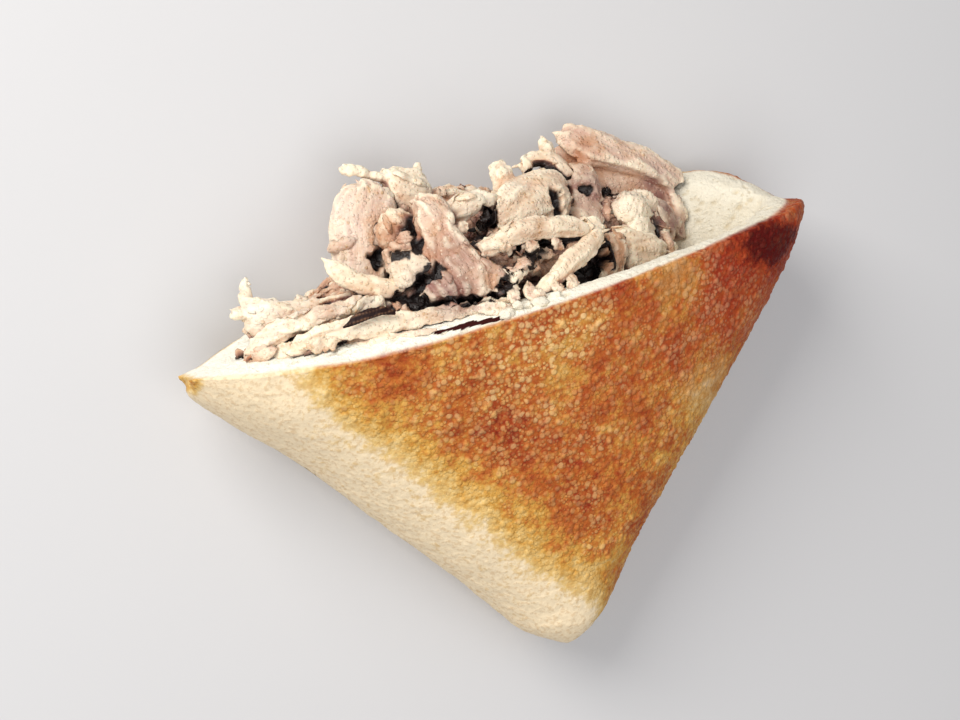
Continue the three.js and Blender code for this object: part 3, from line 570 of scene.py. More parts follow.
class BreadSettings(bpy.types.PropertyGroup):
    """Sizes and colours of the bread."""

    columns: bpy.props.IntProperty(
        name="Columns", description="Points across the upper face", default=540, min=20)
    under_columns: bpy.props.IntProperty(
        name="Columns Below", description="Points across the underside", default=200, min=20)
    rows: bpy.props.IntProperty(
        name="Rows", description="Points from the tip to the mouth", default=260, min=20)
    cut_rows: bpy.props.IntProperty(
        name="Cut Rows", description="Points across the cut face", default=16, min=2)
    hollow_rows: bpy.props.IntProperty(
        name="Hollow Rows", description="Points from the mouth to the bottom of the hollow",
        default=46, min=4)
    blister_height: length_property("Blister Height", "How far a blister stands out", 0.22)
    blister_size: length_property("Blister Size", "Spacing of the larger blisters", 1.9)
    pore_depth: length_property("Pore Depth", "Depth of the open pores in the crumb", 0.45)
    pore_size: length_property("Pore Size", "Spacing of the crumb's pores", 1.7)
    pale: colour_property("Pale Crust", "Crust that has hardly browned", (238, 218, 184))
    mottled: colour_property("Mottled Crust", "Tan mottling of the pale crust", (206, 172, 128))
    straw: colour_property("Straw Crust", "Crust that begins to toast", (222, 188, 122))
    gold: colour_property("Golden Crust", "Lightly toasted crust", (204, 152, 68))
    orange: colour_property("Orange Crust", "Well toasted crust", (182, 100, 40))
    brown: colour_property("Brown Crust", "Strongly toasted crust", (150, 56, 24))
    dark: colour_property("Dark Crust", "The darkest crust", (82, 4, 3))
    red: colour_property("Red Crust", "Redder toasting towards the right end", (162, 50, 26))
    blister: colour_property("Blisters", "Tops of the small blisters", (236, 196, 118))
    pale_blister: colour_property("Pale Blisters", "Tops of the palest blisters", (240, 212, 148))
    rosy_blister: colour_property("Rosy Blisters", "Tops of the blisters on red crust", (226, 172, 142))
    crumb: colour_property("Crumb", "The soft inside", (254, 251, 238))
    # The colour of the crumb's painted shade, in its pores and towards the right end.
    crumb_shade: colour_property("Crumb Shade", "The inside's pores", (218, 204, 176))
    # The colour of the painted shade on the crumb under the shreds' lower edges.
    stain: colour_property("Stain", "Crumb soaked with juice", (56, 14, 12))


class ChickenSettings(bpy.types.PropertyGroup):
    """Sizes and colours of the torn chicken."""

    grain: length_property("Surface Step", "Spacing of the points on a torn piece", 0.36)
    relief: length_property("Relief", "Height of the lumps and creases of torn meat", 0.45)
    dent: bpy.props.FloatProperty(
        name="Dent", description="Depth of a gap's hollow, as a share of its reach", default=1.1, min=0.0)
    shreds: bpy.props.IntProperty(
        name="Shreds", description="Small shreds over the packed filling", default=300, min=0)
    seed: bpy.props.IntProperty(
        name="Seed", description="Chooses another arrangement of shreds", default=7, min=0)
    pale: colour_property("Pale Meat", "Breast meat", (228, 202, 170))
    pink: colour_property("Pink Meat", "Moist meat from within", (208, 174, 154))
    cream: colour_property("Cream", "The palest, driest meat", (250, 242, 224))
    rosy: colour_property("Rosy", "Smooth pinkish meat", (218, 196, 182))
    golden: colour_property("Golden Specks", "Roasted grains on the surface", (200, 154, 98))
    tan: colour_property("Brown Meat", "Roasted meat", (196, 144, 108))
    browned: colour_property("Browned", "Roasted edges and skin", (166, 98, 54))
    warm_shade: colour_property("Warm Shade", "Meat where the shade begins", (206, 158, 122))
    # The colour of the painted shade low down where the pieces crowd, and at the mauve spots.
    mauve: colour_property("Mauve", "Darker meat low down between the pieces", (126, 78, 74))
    shade: colour_property("Shaded", "The deepest gaps", (16, 3, 3))
    # This colour also serves for the painted highlights on ridges and the painted glints.
    light: colour_property("Fibre Tops", "Dry fibres that catch the light", (252, 240, 214))
    herb: colour_property("Herb", "The dark strip", (34, 14, 12))


class StageSettings(bpy.types.PropertyGroup):
    """The floor and the lights."""

    floor: colour_property("Floor", "Plain pale floor", (206, 206, 208))
    floor_size: length_property("Floor Size", "Width of the floor", 12000.0)
    key: bpy.props.FloatProperty(
        name="Key Light", description="Power of the main light", unit="POWER", default=4.4, min=0.0)
    fill: bpy.props.FloatProperty(
        name="Fill Light", description="Power of the soft light from the camera's side",
        unit="POWER", default=2.2, min=0.0)
    sky: bpy.props.FloatProperty(
        name="Sky", description="Strength of the even light all round", default=0.32, min=0.0)


# ---- Noise -----------------------------------------------------------------------------------

# Large odd numbers that mix a cell's place and a seed into a random number, and then stir it.
MIXERS = (374761393, 668265263, 1442695041, 1274126177)
STIRRERS = ((13, 1103515245), (16, 668265263))
LAST_SHIFT = 15
WHOLE, KEPT = 0xFFFFFFFF, 0xFFFF
FAR_AWAY = 9.0              # farther than any seed, in cells


def scatter_value(cell, seed):
    """A repeatable number from 0 to 1 for each whole-number cell."""
    parts = (cell[..., 0], cell[..., 1], cell[..., 2], seed)
    mixed = sum(part * mixer for part, mixer in zip(parts, MIXERS)) & WHOLE
    for shift, stirrer in STIRRERS:
        mixed = ((mixed ^ (mixed >> shift)) * stirrer) & WHOLE
    return ((mixed ^ (mixed >> LAST_SHIFT)) & KEPT) / KEPT


def soft_noise(points, size, seed):
    """Smooth noise from -1 to 1, with lumps of about the given size."""
    scaled = points / size
    cell = np.floor(scaled).astype(np.int64)
    part = scaled - cell
    part = part * part * (3 - 2 * part)
    total = np.zeros(len(points))
    for corner in itertools.product((0, 1), repeat=3):
        corner = np.array(corner)
        weight = np.prod(np.where(corner, part, 1 - part), axis=1)
        total += weight * scatter_value(cell + corner, seed)
    return 2 * total - 1


def noise(points, *kinds):
    """The sum of some kinds of noise, each with finer noise on it."""
    total = 0
    for strength, size, layers, seed in kinds:
        layered = sum(soft_noise(points, size / 2 ** i, seed + i) / 2 ** i for i in range(layers))
        total = total + strength * (layered / sum(1 / 2 ** i for i in range(layers)))
    return total


def scattered_cells(points, size, seed):
    """For each point, the distance to the nearest of many scattered seeds, and that seed's number."""
    scaled = points / size
    cell = np.floor(scaled).astype(np.int64)
    best = np.full(len(points), FAR_AWAY)
    number = np.zeros(len(points))
    for step in itertools.product((-1, 0, 1), repeat=3):
        near = cell + np.array(step)
        place = near + np.stack([scatter_value(near, seed + i) for i in range(3)], axis=-1)
        distance = np.linalg.norm(scaled - place, axis=1)
        closer = distance < best
        best = np.where(closer, distance, best)
        number = np.where(closer, scatter_value(near, seed + 3), number)
    return best, number


def round_spots(points, spacing, seed, least, more, level, none):
    """Scattered round spots: 1 in the middle of each and 0 between them, and each one's number."""
    away, number = scattered_cells(points, spacing, seed)
    width = least + more * number
    return (1 - smooth_step(away, width * level, width)) * (number > none), number


def smooth_step(value, low, high):
    share = np.clip((value - low) / (high - low), 0, 1)
    return share * share * (3 - 2 * share)


# ---- Meshes ----------------------------------------------------------------------------------

class Surface:
    """Points, faces and values at the points, gathered for one mesh."""

    def __init__(self):
        self.points = []
        self.faces = []
        self.values = {}
        self.count = 0

    def add(self, points, faces, **values):
        """Adds points, faces that count from the first of them, and one value for each point."""
        self.points.append(points)
        self.faces += [(f + self.count).tolist() for f in faces if len(f)]
        for name, value in values.items():
            self.values.setdefault(name, []).append(value)
        self.count += len(points)

    def build(self, name, material):
        """Makes the piece, which lies in the frame at its true place."""
        points = (np.concatenate(self.points) + (0, REST_POINT, 0)) * MM
        mesh = bpy.data.meshes.new(name)
        mesh.from_pydata(points.tolist(), [], list(itertools.chain.from_iterable(self.faces)))
        for key, parts in self.values.items():
            value = np.concatenate(parts).astype(np.float32)
            kind, slot = ("FLOAT", "value") if value.ndim == 1 else ("FLOAT_VECTOR", "vector")
            mesh.attributes.new(key, kind, "POINT").data.foreach_set(slot, value.ravel())
        mesh.shade_smooth()
        mesh.materials.append(material)
        piece = bpy.data.objects.new(name, mesh)
        bpy.context.scene.collection.objects.link(piece)
        return piece


def unit(ways):
    return ways / np.maximum(np.linalg.norm(ways, axis=-1, keepdims=True), 1e-12)


def point_normals(points, faces):
    """Normals at the points of a mesh, from its faces' own normals."""
    total = np.zeros_like(points)
    for group in faces:
        across = points[group[:, 2]] - points[group[:, 0]]
        along = points[group[:, -1]] - points[group[:, 1]]
        face = np.cross(across, along)
        for corner in range(group.shape[1]):
            for axis in range(3):
                total[:, axis] += np.bincount(group[:, corner], face[:, axis], len(points))
    return unit(total)


def ring_faces(rings, count):
    """Quads between closed rings that follow one another."""
    ring, step = np.meshgrid(np.arange(rings - 1), np.arange(count), indexing="ij")
    here = ring * count + step
    beside = ring * count + (step + 1) % count
    return np.stack([here, beside, beside + count, here + count], axis=-1).reshape(-1, 4)


def fit_in_frame(piece, node):
    """The piece stands for its solid, which is hidden, and hangs from the root body."""
    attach(piece, "root")
    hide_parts(node)


# ---- The bread -------------------------------------------------------------------------------

def bell(value, peak, run):
    return np.exp(-((value - peak) / run) ** 2)


def hump(x, peak, power):
    span = np.where(x < peak, MOUTH_LEFT + peak, MOUTH_RIGHT - peak)
    return 1 - np.clip(np.abs(x - peak) / span, 0, 1) ** power


def bumps(x, y, z, size):
    a = np.sin(x / size + 1.3 * np.sin(y / size))
    b = np.sin((y - 0.6 * z) / size * 1.3 + 1.1 * np.sin(x / size * 0.8 + 2))
    c = np.sin((z + 0.5 * x) / size * 1.7 + 0.7)
    return (a + b + c) / 3


def left_side(depth):
    tip_swell = CORNER_SWELL * bell(depth, CORNER_DEPTH - CORNER_SWELL_UP, CORNER_SWELL_RUN)
    straight = -MOUTH_LEFT + (CORNER_X + MOUTH_LEFT) * depth / POCKET_DEPTH
    return straight - LEFT_TIP_SWELL * tip_swell - LEFT_SWELL * bell(depth, LEFT_SWELL_AT, LEFT_SWELL_RUN)


def right_side(depth):
    share = depth / POCKET_DEPTH
    tip_swell = CORNER_SWELL * bell(depth, CORNER_DEPTH - CORNER_SWELL_UP, CORNER_SWELL_RUN)
    bow = RIGHT_SWELL * np.sin(np.pi * np.minimum(share, 1) ** RIGHT_SWELL_SKEW)
    return MOUTH_RIGHT + (CORNER_X - MOUTH_RIGHT) * share + tip_swell + bow


def plan(depth):
    """Middle, half width, closing of the tip and share of the depth."""
    left, right = left_side(depth), right_side(depth)
    beyond = np.clip((depth - CORNER_DEPTH + CORNER_ROUND) / CORNER_ROUND, 0, 1)
    closing = np.sqrt(1 - beyond ** 2)
    pointed = closing + (1 - beyond - closing) * CORNER_POINTED
    return (left + right) / 2, (right - left) / 2 * pointed, closing, depth / POCKET_DEPTH


def skins(x, depth):
    """Heights of the upper and lower skin."""
    middle, half, closing, share = plan(depth)
    across = np.clip(np.abs(x - middle) / half, 0, 1)
    inset = np.minimum(SIDE_ROUND, half)
    rounding = np.sqrt(np.maximum(0, 1 - (1 - np.minimum(half * (1 - across), inset) / inset) ** 2))
    level = MOUTH_LIFT + (CORNER_LIFT - MOUTH_LIFT) * share
    crown = 1 - across ** CROWN_SHAPE
    ripple = UNEVEN * rounding * closing * bumps(x, depth, 0, UNEVEN_SIZE)
    edge_half = SIDE_HALF * rounding * closing
    bulge = TOP_RISE * np.maximum(0, 1 - share) ** BULGE_FADE * crown
    sag = (level - SIDE_HALF + FLAT_PRESS) * closing * crown
    top = level + edge_half + bulge + ripple
    return top, np.maximum(0, level - edge_half - sag + ripple / 2)


def top_edge(x):
    return -TOP_BACK * hump(x, TOP_BACK_X, 2)


def floor_edge(x):
    leftward = np.clip(-x / MOUTH_LEFT, 0, 1)
    dip = FLOOR_DIP * leftward * np.sqrt(np.abs(np.sin(np.pi * leftward)))
    return FLOOR_REACH * hump(x, 0, 4) + FLOOR_TONGUE * hump(x, FLOOR_TONGUE_X, 3) - dip


def crumb_rise(x):
    return CRUMB_RISE * np.clip(CRUMB_MIDDLE - x / CRUMB_CHANGE, CRUMB_LEAST, 1)


def way_round(columns, under_columns):
    """Places on a closed ring: how far across, and 1 above or -1 below."""
    above = np.sin(np.pi * (np.arange(columns + 1) / columns - 0.5))
    below = np.sin(np.pi * (np.arange(under_columns - 1, 0, -1) / under_columns - 0.5))
    side = np.concatenate([np.ones(len(above)), -np.ones(len(below))])
    return np.concatenate([above, below]), side


def skin_rings(depths, across, side):
    depth = depths[:, None]
    middle, half = plan(depth)[:2]
    x = middle + half * across
    top, bottom = skins(x, depth)
    nick = NOTCH * bell(depth, 0, NOTCH_RUN) * (1 - smooth_step(1 + across, 0, NOTCH_SPREAD))
    edge = np.where(side > 0, top_edge(x), floor_edge(x))
    y = edge * (1 - depth / CORNER_DEPTH) ** 2 - depth
    return np.stack([x + nick, y, np.where(side > 0, top, bottom)], axis=-1)


def hollow_rings(depths, across, side):
    depth = depths[:, None]
    middle, half = plan(depth)[:2]
    left = middle - half + END_LEFT
    right = np.minimum(middle + half - END_RIGHT, MOUTH_RIGHT)
    reach = np.maximum((right - left) / 2, 0.5)
    taper = np.sqrt(1 - (depth / HOLLOW_DEPTH) ** 4)
    x = (left + right) / 2 + reach * across * (1 + (taper - 1) * HOLLOW_NARROWS)
    top, bottom = skins(x, depth)
    level = (top + bottom) / 2
    wall = np.where(side > 0, top - WALL_TOP, bottom + WALL_FLOOR)
    z = level + (wall - level) * np.sqrt(1 - np.abs(across) ** 3) * taper
    edge = np.where(side > 0, top_edge(x) + crumb_rise(x), floor_edge(x) - CRUMB_SINK)
    ends = (top_edge(x) + floor_edge(x)) / 2
    out = ends + (edge - ends) * np.sqrt(1 - across ** 4)
    return np.stack([x, out * (1 - depth / CORNER_DEPTH) ** 2 - depth, z], axis=-1)


def cut_rings(outer, inner, count):
    """The uneven cut face between the crust's edge and the hollow."""
    share = np.linspace(0, 1, count + 2)[1:-1, None, None]
    rings = outer + (inner - outer) * share
    arch = 4 * share[..., 0] * (1 - share[..., 0])
    rough = bumps(rings[..., 0], rings[..., 1], rings[..., 2], CUT_UNEVEN_SIZE)
    rings[..., 1] += arch * (CUT_PROUD + CUT_UNEVEN * rough)
    return rings


def flat_spots(x, depth, spots):
    """The sum of soft round spots over the bread's plan."""
    total = np.zeros(len(x))
    for spot_x, spot_depth, reach, change in spots:
        away = np.hypot(x - spot_x, depth - spot_depth) / reach
        total += change * np.exp(-away ** 2)
    return total


def toast_level(points, upward):
    """How toasted and how red the crust is; upward is 1 on the upper face and 0 on the lower one."""
    x, depth = points[:, 0], -points[:, 1]
    inwards = x - left_side(depth)
    above = np.interp(inwards, TOAST_ACROSS, TOAST_LEVELS)
    above = above + flat_spots(x, depth, TOAST_SPOTS)
    below = BELOW_TOAST + noise(points, *TOAST_CHANGE_BELOW)
    level = below + (above - below) * upward
    red = np.interp(x, RED_ACROSS, RED_LEVELS) * (RED_LEAST + noise(points, *RED_CHANGE))
    red *= 1 - RED_FADES_BY * smooth_step(depth, *RED_FADE)
    change = noise(points, *TOAST_CHANGE) * smooth_step(level, *TOAST_CHANGES)
    return level + change, np.clip(red, 0, 1) * upward


def skin_relief(points, toast, settings):
    """Blisters and fine unevenness of the crust, in millimetres, and where the blisters are."""
    blisters, number = round_spots(points, settings.blister_size / MM, *BLISTER_SPOTS)
    present = PALE_BLISTERS + (1 - PALE_BLISTERS) * smooth_step(toast, *TOASTED)
    least, more = BLISTER_HEIGHTS
    height = settings.blister_height / MM * blisters * present * (least + more * number)
    fine = noise(points @ TILT, *SKIN_GRAINS) * (PALE_GRAINS + (1 - PALE_GRAINS) * present)
    return height + noise(points, *SKIN_WAVES) + fine, blisters * present * number


def crumb_relief(points, settings):
    """Open pores and torn unevenness of the cut crumb, in millimetres."""
    stretched = points * CRUMB_STRETCH
    pores, _ = round_spots(stretched, settings.pore_size / MM, *PORE_SPOTS)
    rough = noise(stretched, *CRUMB_WAVES) + noise(points, *CRUMB_GRAINS)
    return rough - settings.pore_depth / MM * pores, pores


def spot_mask(points, spots):
    """How near each point is to any of the spots, from 0 to the spot's strength."""
    mask = np.zeros(len(points))
    for x, y, z, reach, strength in spots:
        away = np.linalg.norm(points - (x, y, z), axis=1) / reach
        mask = np.maximum(mask, strength * np.exp(-away ** 2))
    return mask


def streak_mask(points, streaks):
    """1 inside any of the ragged streaks and 0 outside, and the reach of the streak there."""
    mask, reached = np.zeros(len(points)), np.zeros(len(points))
    ragged_edge = 1 + noise(points, *STREAK_EDGES)
    for start, end, reach in streaks:
        way = np.subtract(end, start)
        share = np.clip((points - start) @ way / (way @ way), 0, 1)
        away = np.linalg.norm(points - start - share[:, None] * way, axis=1) * ragged_edge / reach
        inside = 1 - smooth_step(away, *STREAK_FADE)
        reached = np.where(inside > mask, reach, reached)
        mask = np.maximum(mask, inside)
    return mask, reached


def add_crumbs(surface, crumbs):
    """Torn crumbs of bread that lie on the cut edge."""
    turns, levels = CRUMB_TURNS, CRUMB_LEVELS
    polar = (np.pi * np.arange(1, levels) / levels)[:, None]
    turn = 2 * np.pi * np.arange(turns) / turns
    ball = np.stack(np.broadcast_arrays(
        np.sin(polar) * np.cos(turn), np.sin(polar) * np.sin(turn), np.cos(polar)), axis=-1).reshape(-1, 3)
    ball = np.concatenate([ball, [(0, 0, 1), (0, 0, -1)]])
    step = np.arange(turns)
    beside, top, last = (step + 1) % turns, len(ball) - 2, (levels - 2) * turns
    caps = np.concatenate([np.stack([np.full(turns, top), step, beside], axis=1),
                           np.stack([np.full(turns, top + 1), last + beside, last + step], axis=1)])
    for x, y, z, width in crumbs:
        place = np.array((x, y, z))
        flats = unit(np.random.default_rng(int(width * 10)).normal(size=(CRUMB_FLATS, 3)))
        chipped = np.minimum(1.0, (CRUMB_CHIP / np.maximum(ball @ flats.T, 0.05)).min(axis=1))
        rough = chipped + noise(ball + place, *CHIPPED_EDGES)
        points = place + ball[:, [2, 0, 1]] * rough[:, None] * CRUMB_SHAPE * np.array(width)
        plain = {name: np.zeros(len(points)) for name in ("toast", "blister", "stain", "dotty")}
        # With red at 1 the crumbs take the crumb's painted shade in full, which makes them creamier.
        full = {name: np.ones(len(points)) for name in ("crumb", "red")}
        surface.add(points, [ring_faces(levels - 1, turns), caps], **plain, **full)


def rounded_lip(rings, first, last):
    """Rounds the hollow's edge towards the right end, where the photo shows no lip."""
    share = smooth_step(rings[first:last, :, :1], *LIP_ROUNDS_X)
    for _ in range(LIP_PASSES):
        middle = rings[first:last]
        even = (rings[first - 1:last - 1] + 2 * middle + rings[first + 1:last + 1]) / 4
        rings[first:last] = middle + (even - middle) * share


def make_bread(settings):
    across, side = way_round(settings.columns, settings.under_columns)
    skin_depths = CORNER_DEPTH * LAST_RING * (1 - np.arange(settings.rows + 1) / settings.rows)
    hollow_share = np.arange(settings.hollow_rows) / (settings.hollow_rows - 1)
    hollow_depths = HOLLOW_DEPTH * LAST_RING * hollow_share ** HOLLOW_BUNCHED
    skin = skin_rings(skin_depths, across, side)
    hollow = hollow_rings(hollow_depths, across, side)
    cut = cut_rings(skin[-1], hollow[0], settings.cut_rows)
    rings = np.concatenate([skin, cut, hollow])
    first_hollow = len(skin) + settings.cut_rows
    rounded_lip(rings, len(skin) + LIP_FIRST, first_hollow + settings.hollow_rows // 2)
    count = len(across)
    tip = np.array([plan(CORNER_DEPTH)[0], -CORNER_DEPTH, CORNER_LIFT])
    deep = hollow[-1].mean(axis=0)
    points = np.concatenate([[tip], rings.reshape(-1, 3), [deep]])

    quads = ring_faces(len(rings), count) + 1
    step = np.arange(count)
    beside = (step + 1) % count
    last = 1 + (len(rings) - 1) * count
    start = np.stack([np.zeros(count, int), 1 + beside, 1 + step], axis=1)
    end = np.stack([np.full(count, len(points) - 1), last + step, last + beside], axis=1)
    faces = [quads, start, end]

    cut_share = np.concatenate([
        np.zeros(len(skin)), np.linspace(0, 1, settings.cut_rows + 2)[1:-1], np.ones(len(hollow))])
    crumb = smooth_step(np.repeat(cut_share, count), *CUT_FADE)
    crumb = np.concatenate([[0.0], crumb, [1.0]])
    upward = np.where(side > 0, 1.0, 1 - smooth_step(1 - np.abs(across), *RIM_FADE))
    upward = np.concatenate([[1.0], np.tile(upward, len(rings)), [0.0]])
    toast, red = toast_level(points, upward)
    skin_height, blisters = skin_relief(points, toast, settings)
    crumb_height, pores = crumb_relief(points, settings)
    height = skin_height * (1 - crumb) + crumb_height * crumb
    inside = np.concatenate([[0.0], np.repeat(np.arange(len(rings)) > first_hollow, count), [1.0]])
    height *= 1 - HOLLOW_SMOOTHER * inside
    height *= smooth_step(points[:, 2], *GROUND_FADE)
    points = points + point_normals(points, faces) * height[:, None]
    points[:, 2] = np.maximum(points[:, 2], 0.0)

    surface = Surface()
    # In the crumb, red rises towards the right end, where it paints shade, and blister holds the pores,
    # which are painted darker as shade.
    red = np.where(crumb > 0.5, np.interp(points[:, 0], RED_ACROSS, RED_LEVELS), red)
    dotty = flat_spots(points[:, 0], -points[:, 1], DOTTY_SPOTS)
    # Painted shade on the crumb under the shreds' lower edges.
    stain, _ = streak_mask(points, SHRED_SHADOWS)
    surface.add(points, faces, toast=toast, crumb=crumb, red=red, dotty=dotty, stain=stain,
                blister=np.maximum(blisters * (1 - crumb), pores * crumb))
    add_crumbs(surface, CRUMBS)
    return surface


# ---- Torn chicken ----------------------------------------------------------------------------

def remeshed(name, step, rounds):
    """Even points and quads over a solid, in millimetres from the mouth."""
    source = frame["nodes"][name].data.copy()
    source.transform(Matrix.Scale(1 / MM, 4))
    worker = bpy.data.objects.new("worker", source)
    bpy.context.scene.collection.objects.link(worker)
    remesh = worker.modifiers.new("Remesh", "REMESH")
    remesh.mode = "VOXEL"
    remesh.voxel_size = step
    smooth = worker.modifiers.new("Smooth", "SMOOTH")
    smooth.factor = 0.5
    smooth.iterations = rounds
    evaluated = worker.evaluated_get(bpy.context.evaluated_depsgraph_get())
    mesh = evaluated.to_mesh()
    points = np.empty(len(mesh.vertices) * 3, np.float32)
    mesh.vertices.foreach_get("co", points)
    corners = np.empty(len(mesh.loops), np.int32)
    mesh.loops.foreach_get("vertex_index", corners)
    totals = np.empty(len(mesh.polygons), np.int32)
    mesh.polygons.foreach_get("loop_total", totals)
    starts = np.concatenate([[0], np.cumsum(totals)[:-1]])
    faces = [corners[starts[totals == size][:, None] + np.arange(size)] for size in (3, 4)]
    evaluated.to_mesh_clear()
    bpy.data.objects.remove(worker)
    bpy.data.meshes.remove(source)
    return points.reshape(-1, 3).astype(float) - (0, REST_POINT, 0), [f for f in faces if len(f)]


def long_axes(points):
    """Three square axes of a piece, the longest first."""
    centred = points - points.mean(axis=0)
    _, axes = np.linalg.eigh(centred.T @ centred)
    return axes[:, ::-1].T


def hollowness(points, faces, rounds, calm=0):
    """How deep each point lies below its surroundings, in millimetres, evened out if wished."""
    starts = np.concatenate([f.ravel() for f in faces])
    ends = np.concatenate([np.roll(f, -1, axis=1).ravel() for f in faces])
    degree = np.bincount(starts, minlength=len(points)) + np.bincount(ends, minlength=len(points))

    def evened(values, rounds):
        for _ in range(rounds):
            total = [np.bincount(starts, column[ends], len(points))
                     + np.bincount(ends, column[starts], len(points)) for column in values.T]
            values = np.stack(total, axis=1) / np.maximum(degree, 1)[:, None]
        return values

    hollow = np.einsum("ij,ij->i", evened(points, rounds) - points, point_normals(points, faces))
    return evened(hollow[:, None], calm)[:, 0]


def fibre_frame(points, axes):
    """Places along and across the fibres, which wander a little."""
    wander = np.stack([noise(points, kind) for kind in FIBRE_WANDER], axis=1)
    return (points + wander) @ axes.T


def torn_relief(points, grain, rough, height):
    """Layered sheets, folds, strands and grit of torn meat, in millimetres."""
    layers = noise(grain / SHEET_STRETCH, *SHEETS)
    sheet = np.floor(layers) + smooth_step(layers - np.floor(layers), *SHEET_EDGE)
    folds = 1 - smooth_step(np.abs(noise(grain / FOLD_STRETCH, *FOLDS)), *FOLD_WIDTH)
    away, number = scattered_cells(grain / SHEET_STRETCH @ TURN, BUNDLE_SPACING, BUNDLE_SEED)
    low, more = BUNDLE_RANGE
    shapes = (
        (BUNDLE_HEIGHT, (BUNDLE_ROUND - away) * (low + more * number)),
        (STRAND_HEIGHT, noise(grain / STRAND_STRETCH @ TURN, *STRANDS)),
        (GRIT_HEIGHT, noise(points @ TILT, *GRIT)))
    fine = sum((smooth + more * rough) * shape for (smooth, more), shape in shapes)
    return height * (rough * (SHEET_HEIGHT * sheet + noise(points, *LUMPS) - FOLD_DEPTH * folds) + fine)


def frayed(points, grain, axis, rough):
    """Steps that draw the torn ends of the fibre bundles out to different lengths."""
    along = points @ axis
    middle, half = (along.max() + along.min()) / 2, (along.max() - along.min()) / 2
    end = smooth_step(np.abs(along - middle) / half, *FRAYED_FROM) * np.sign(along - middle)
    bundle = noise(grain * FRAYED_STRETCH, *FRAYED_BUNDLES)
    return (end * (FRAYED_LEAST + rough) * bundle)[:, None] * axis


class Crowding:
    """How closely packed the solids are around any place, counted in a coarse grid of the food."""

    def __init__(self, names):
        solids = []
        for name in names:
            mesh = frame["nodes"][name].data
            points = np.array([corner.co for corner in mesh.vertices]) / MM - (0, REST_POINT, 0)
            solids.append((points, [tuple(face.vertices) for face in mesh.polygons]))
        every = np.concatenate([points for points, _ in solids])
        margin = 4 * CROWD_REACH * CROWD_CELL
        self.low = every.min(axis=0) - margin
        shape = ((every.max(axis=0) + margin - self.low) / CROWD_CELL).astype(int) + 1
        filled = np.zeros(shape, bool)
        for points, faces in solids:
            self.fill(filled, points, faces)
        share = filled.astype(float)
        for _ in range(2):
            for axis in range(3):
                share = self.smeared(share, axis)
        self.share = share

    def cell(self, place):
        return ((place - self.low) / CROWD_CELL).astype(int)

    def fill(self, filled, points, faces):
        """Marks the cells inside one solid, by looking up through each column of cells."""
        tree = BVHTree.FromPolygons(points.tolist(), faces)
        first, last = self.cell(points.min(axis=0)), self.cell(points.max(axis=0))
        for i, j in itertools.product(range(first[0], last[0] + 1), range(first[1], last[1] + 1)):
            x, y = self.low[:2] + CROWD_CELL * (np.array((i, j)) + 0.5)
            place = Vector((x, y, self.low[2]))
            crossings = []
            while (hit := tree.ray_cast(place, (0, 0, 1))[0]) is not None:
                crossings.append(int((hit.z - self.low[2]) / CROWD_CELL + 0.5))
                place = hit + Vector((0, 0, CROWD_STEP))
            for enter, leave in zip(crossings[::2], crossings[1::2]):
                filled[i, j, enter:leave] = True

    @staticmethod
    def smeared(share, axis):
        """The mean over the reach on either side, along one axis."""
        total = np.cumsum(share, axis=axis)
        width = 2 * CROWD_REACH + 1
        return (np.roll(total, -CROWD_REACH, axis) - np.roll(total, CROWD_REACH + 1, axis)) / width

    def around(self, points, outward):
        """How full the surroundings are just above each point of a surface, from 0 to 1."""
        place = (points + CROWD_LIFT * outward - self.low) / CROWD_CELL - 0.5
        place = np.clip(place, 0, np.array(self.share.shape) - 1.001)
        cell = place.astype(int)
        part = place - cell
        total = np.zeros(len(points))
        for corner in itertools.product((0, 1), repeat=3):
            i, j, k = (cell + corner).T
            total += np.prod(np.where(corner, part, 1 - part), axis=1) * self.share[i, j, k]
        return np.clip(total, 0, 1)


def tube_faces(count, rings, sides):
    """The faces of some closed tubes that follow one another."""
    caps = np.stack([np.arange(sides)[::-1], (rings - 1) * sides + np.arange(sides)])
    first = (np.arange(count) * rings * sides)[:, None, None]
    return [(group + first).reshape(-1, group.shape[1]) for group in (ring_faces(rings, sides), caps)]


def bit_points(starts, ways, bends, lengths, radii):
    """Tapered bits that start at points and bend, all as one mesh."""
    share = np.linspace(0, 1, BIT_RINGS)[None, :, None]
    lengths = lengths[:, None, None]
    centre = starts[:, None] + ways[:, None] * lengths * share + bends[:, None] * lengths * share ** 2
    along = unit(ways[:, None] + 2 * bends[:, None] * share)
    aside = unit(np.cross(along, ASIDE))
    up = np.cross(along, aside)
    turn = (2 * np.pi * np.arange(BIT_SIDES) / BIT_SIDES)[:, None]
    radius = radii[:, None, None, None] * (1 - BIT_TAPER * share[..., None] ** 3)
    points = centre[:, :, None] + radius * (
        aside[:, :, None] * np.cos(turn) + BIT_FLATNESS * up[:, :, None] * np.sin(turn))
    grain = np.stack(np.broadcast_arrays(
        share[..., None] * lengths[..., None], np.cos(turn) * radius, np.sin(turn) * radius), axis=-1)
    apart = np.repeat(np.arange(len(starts)) * BIT_GRAIN_APART, BIT_RINGS * BIT_SIDES)[:, None]
    faces = tube_faces(len(starts), BIT_RINGS, BIT_SIDES)
    return points.reshape(-1, 3), faces, grain.reshape(-1, 3) + apart


class Meat(Surface):
    """Torn meat, with all the values that its colour needs."""

    def __init__(self, crowding, tint, gloom):
        super().__init__()
        self.crowding = crowding
        self.tint = tint
        self.gloom = gloom

    def add_meat(self, points, faces, outward, grain, deep, dent=0.0, tint=None, gloom=None):
        """Adds points that have already been moved in by the dent."""
        tint = np.full(len(points), self.tint) if tint is None else tint
        gloom = self.gloom if gloom is None else gloom
        self.add(points, faces, grain=grain, deep=deep, brown=spot_mask(points, BROWN_SPOTS),
                 mauve=spot_mask(points, MAUVE_SHADE_SPOTS), dark=streak_mask(points + dent, DARK_GAPS)[0],
                 crowd=gloom * self.crowding.around(points, outward), tint=tint)


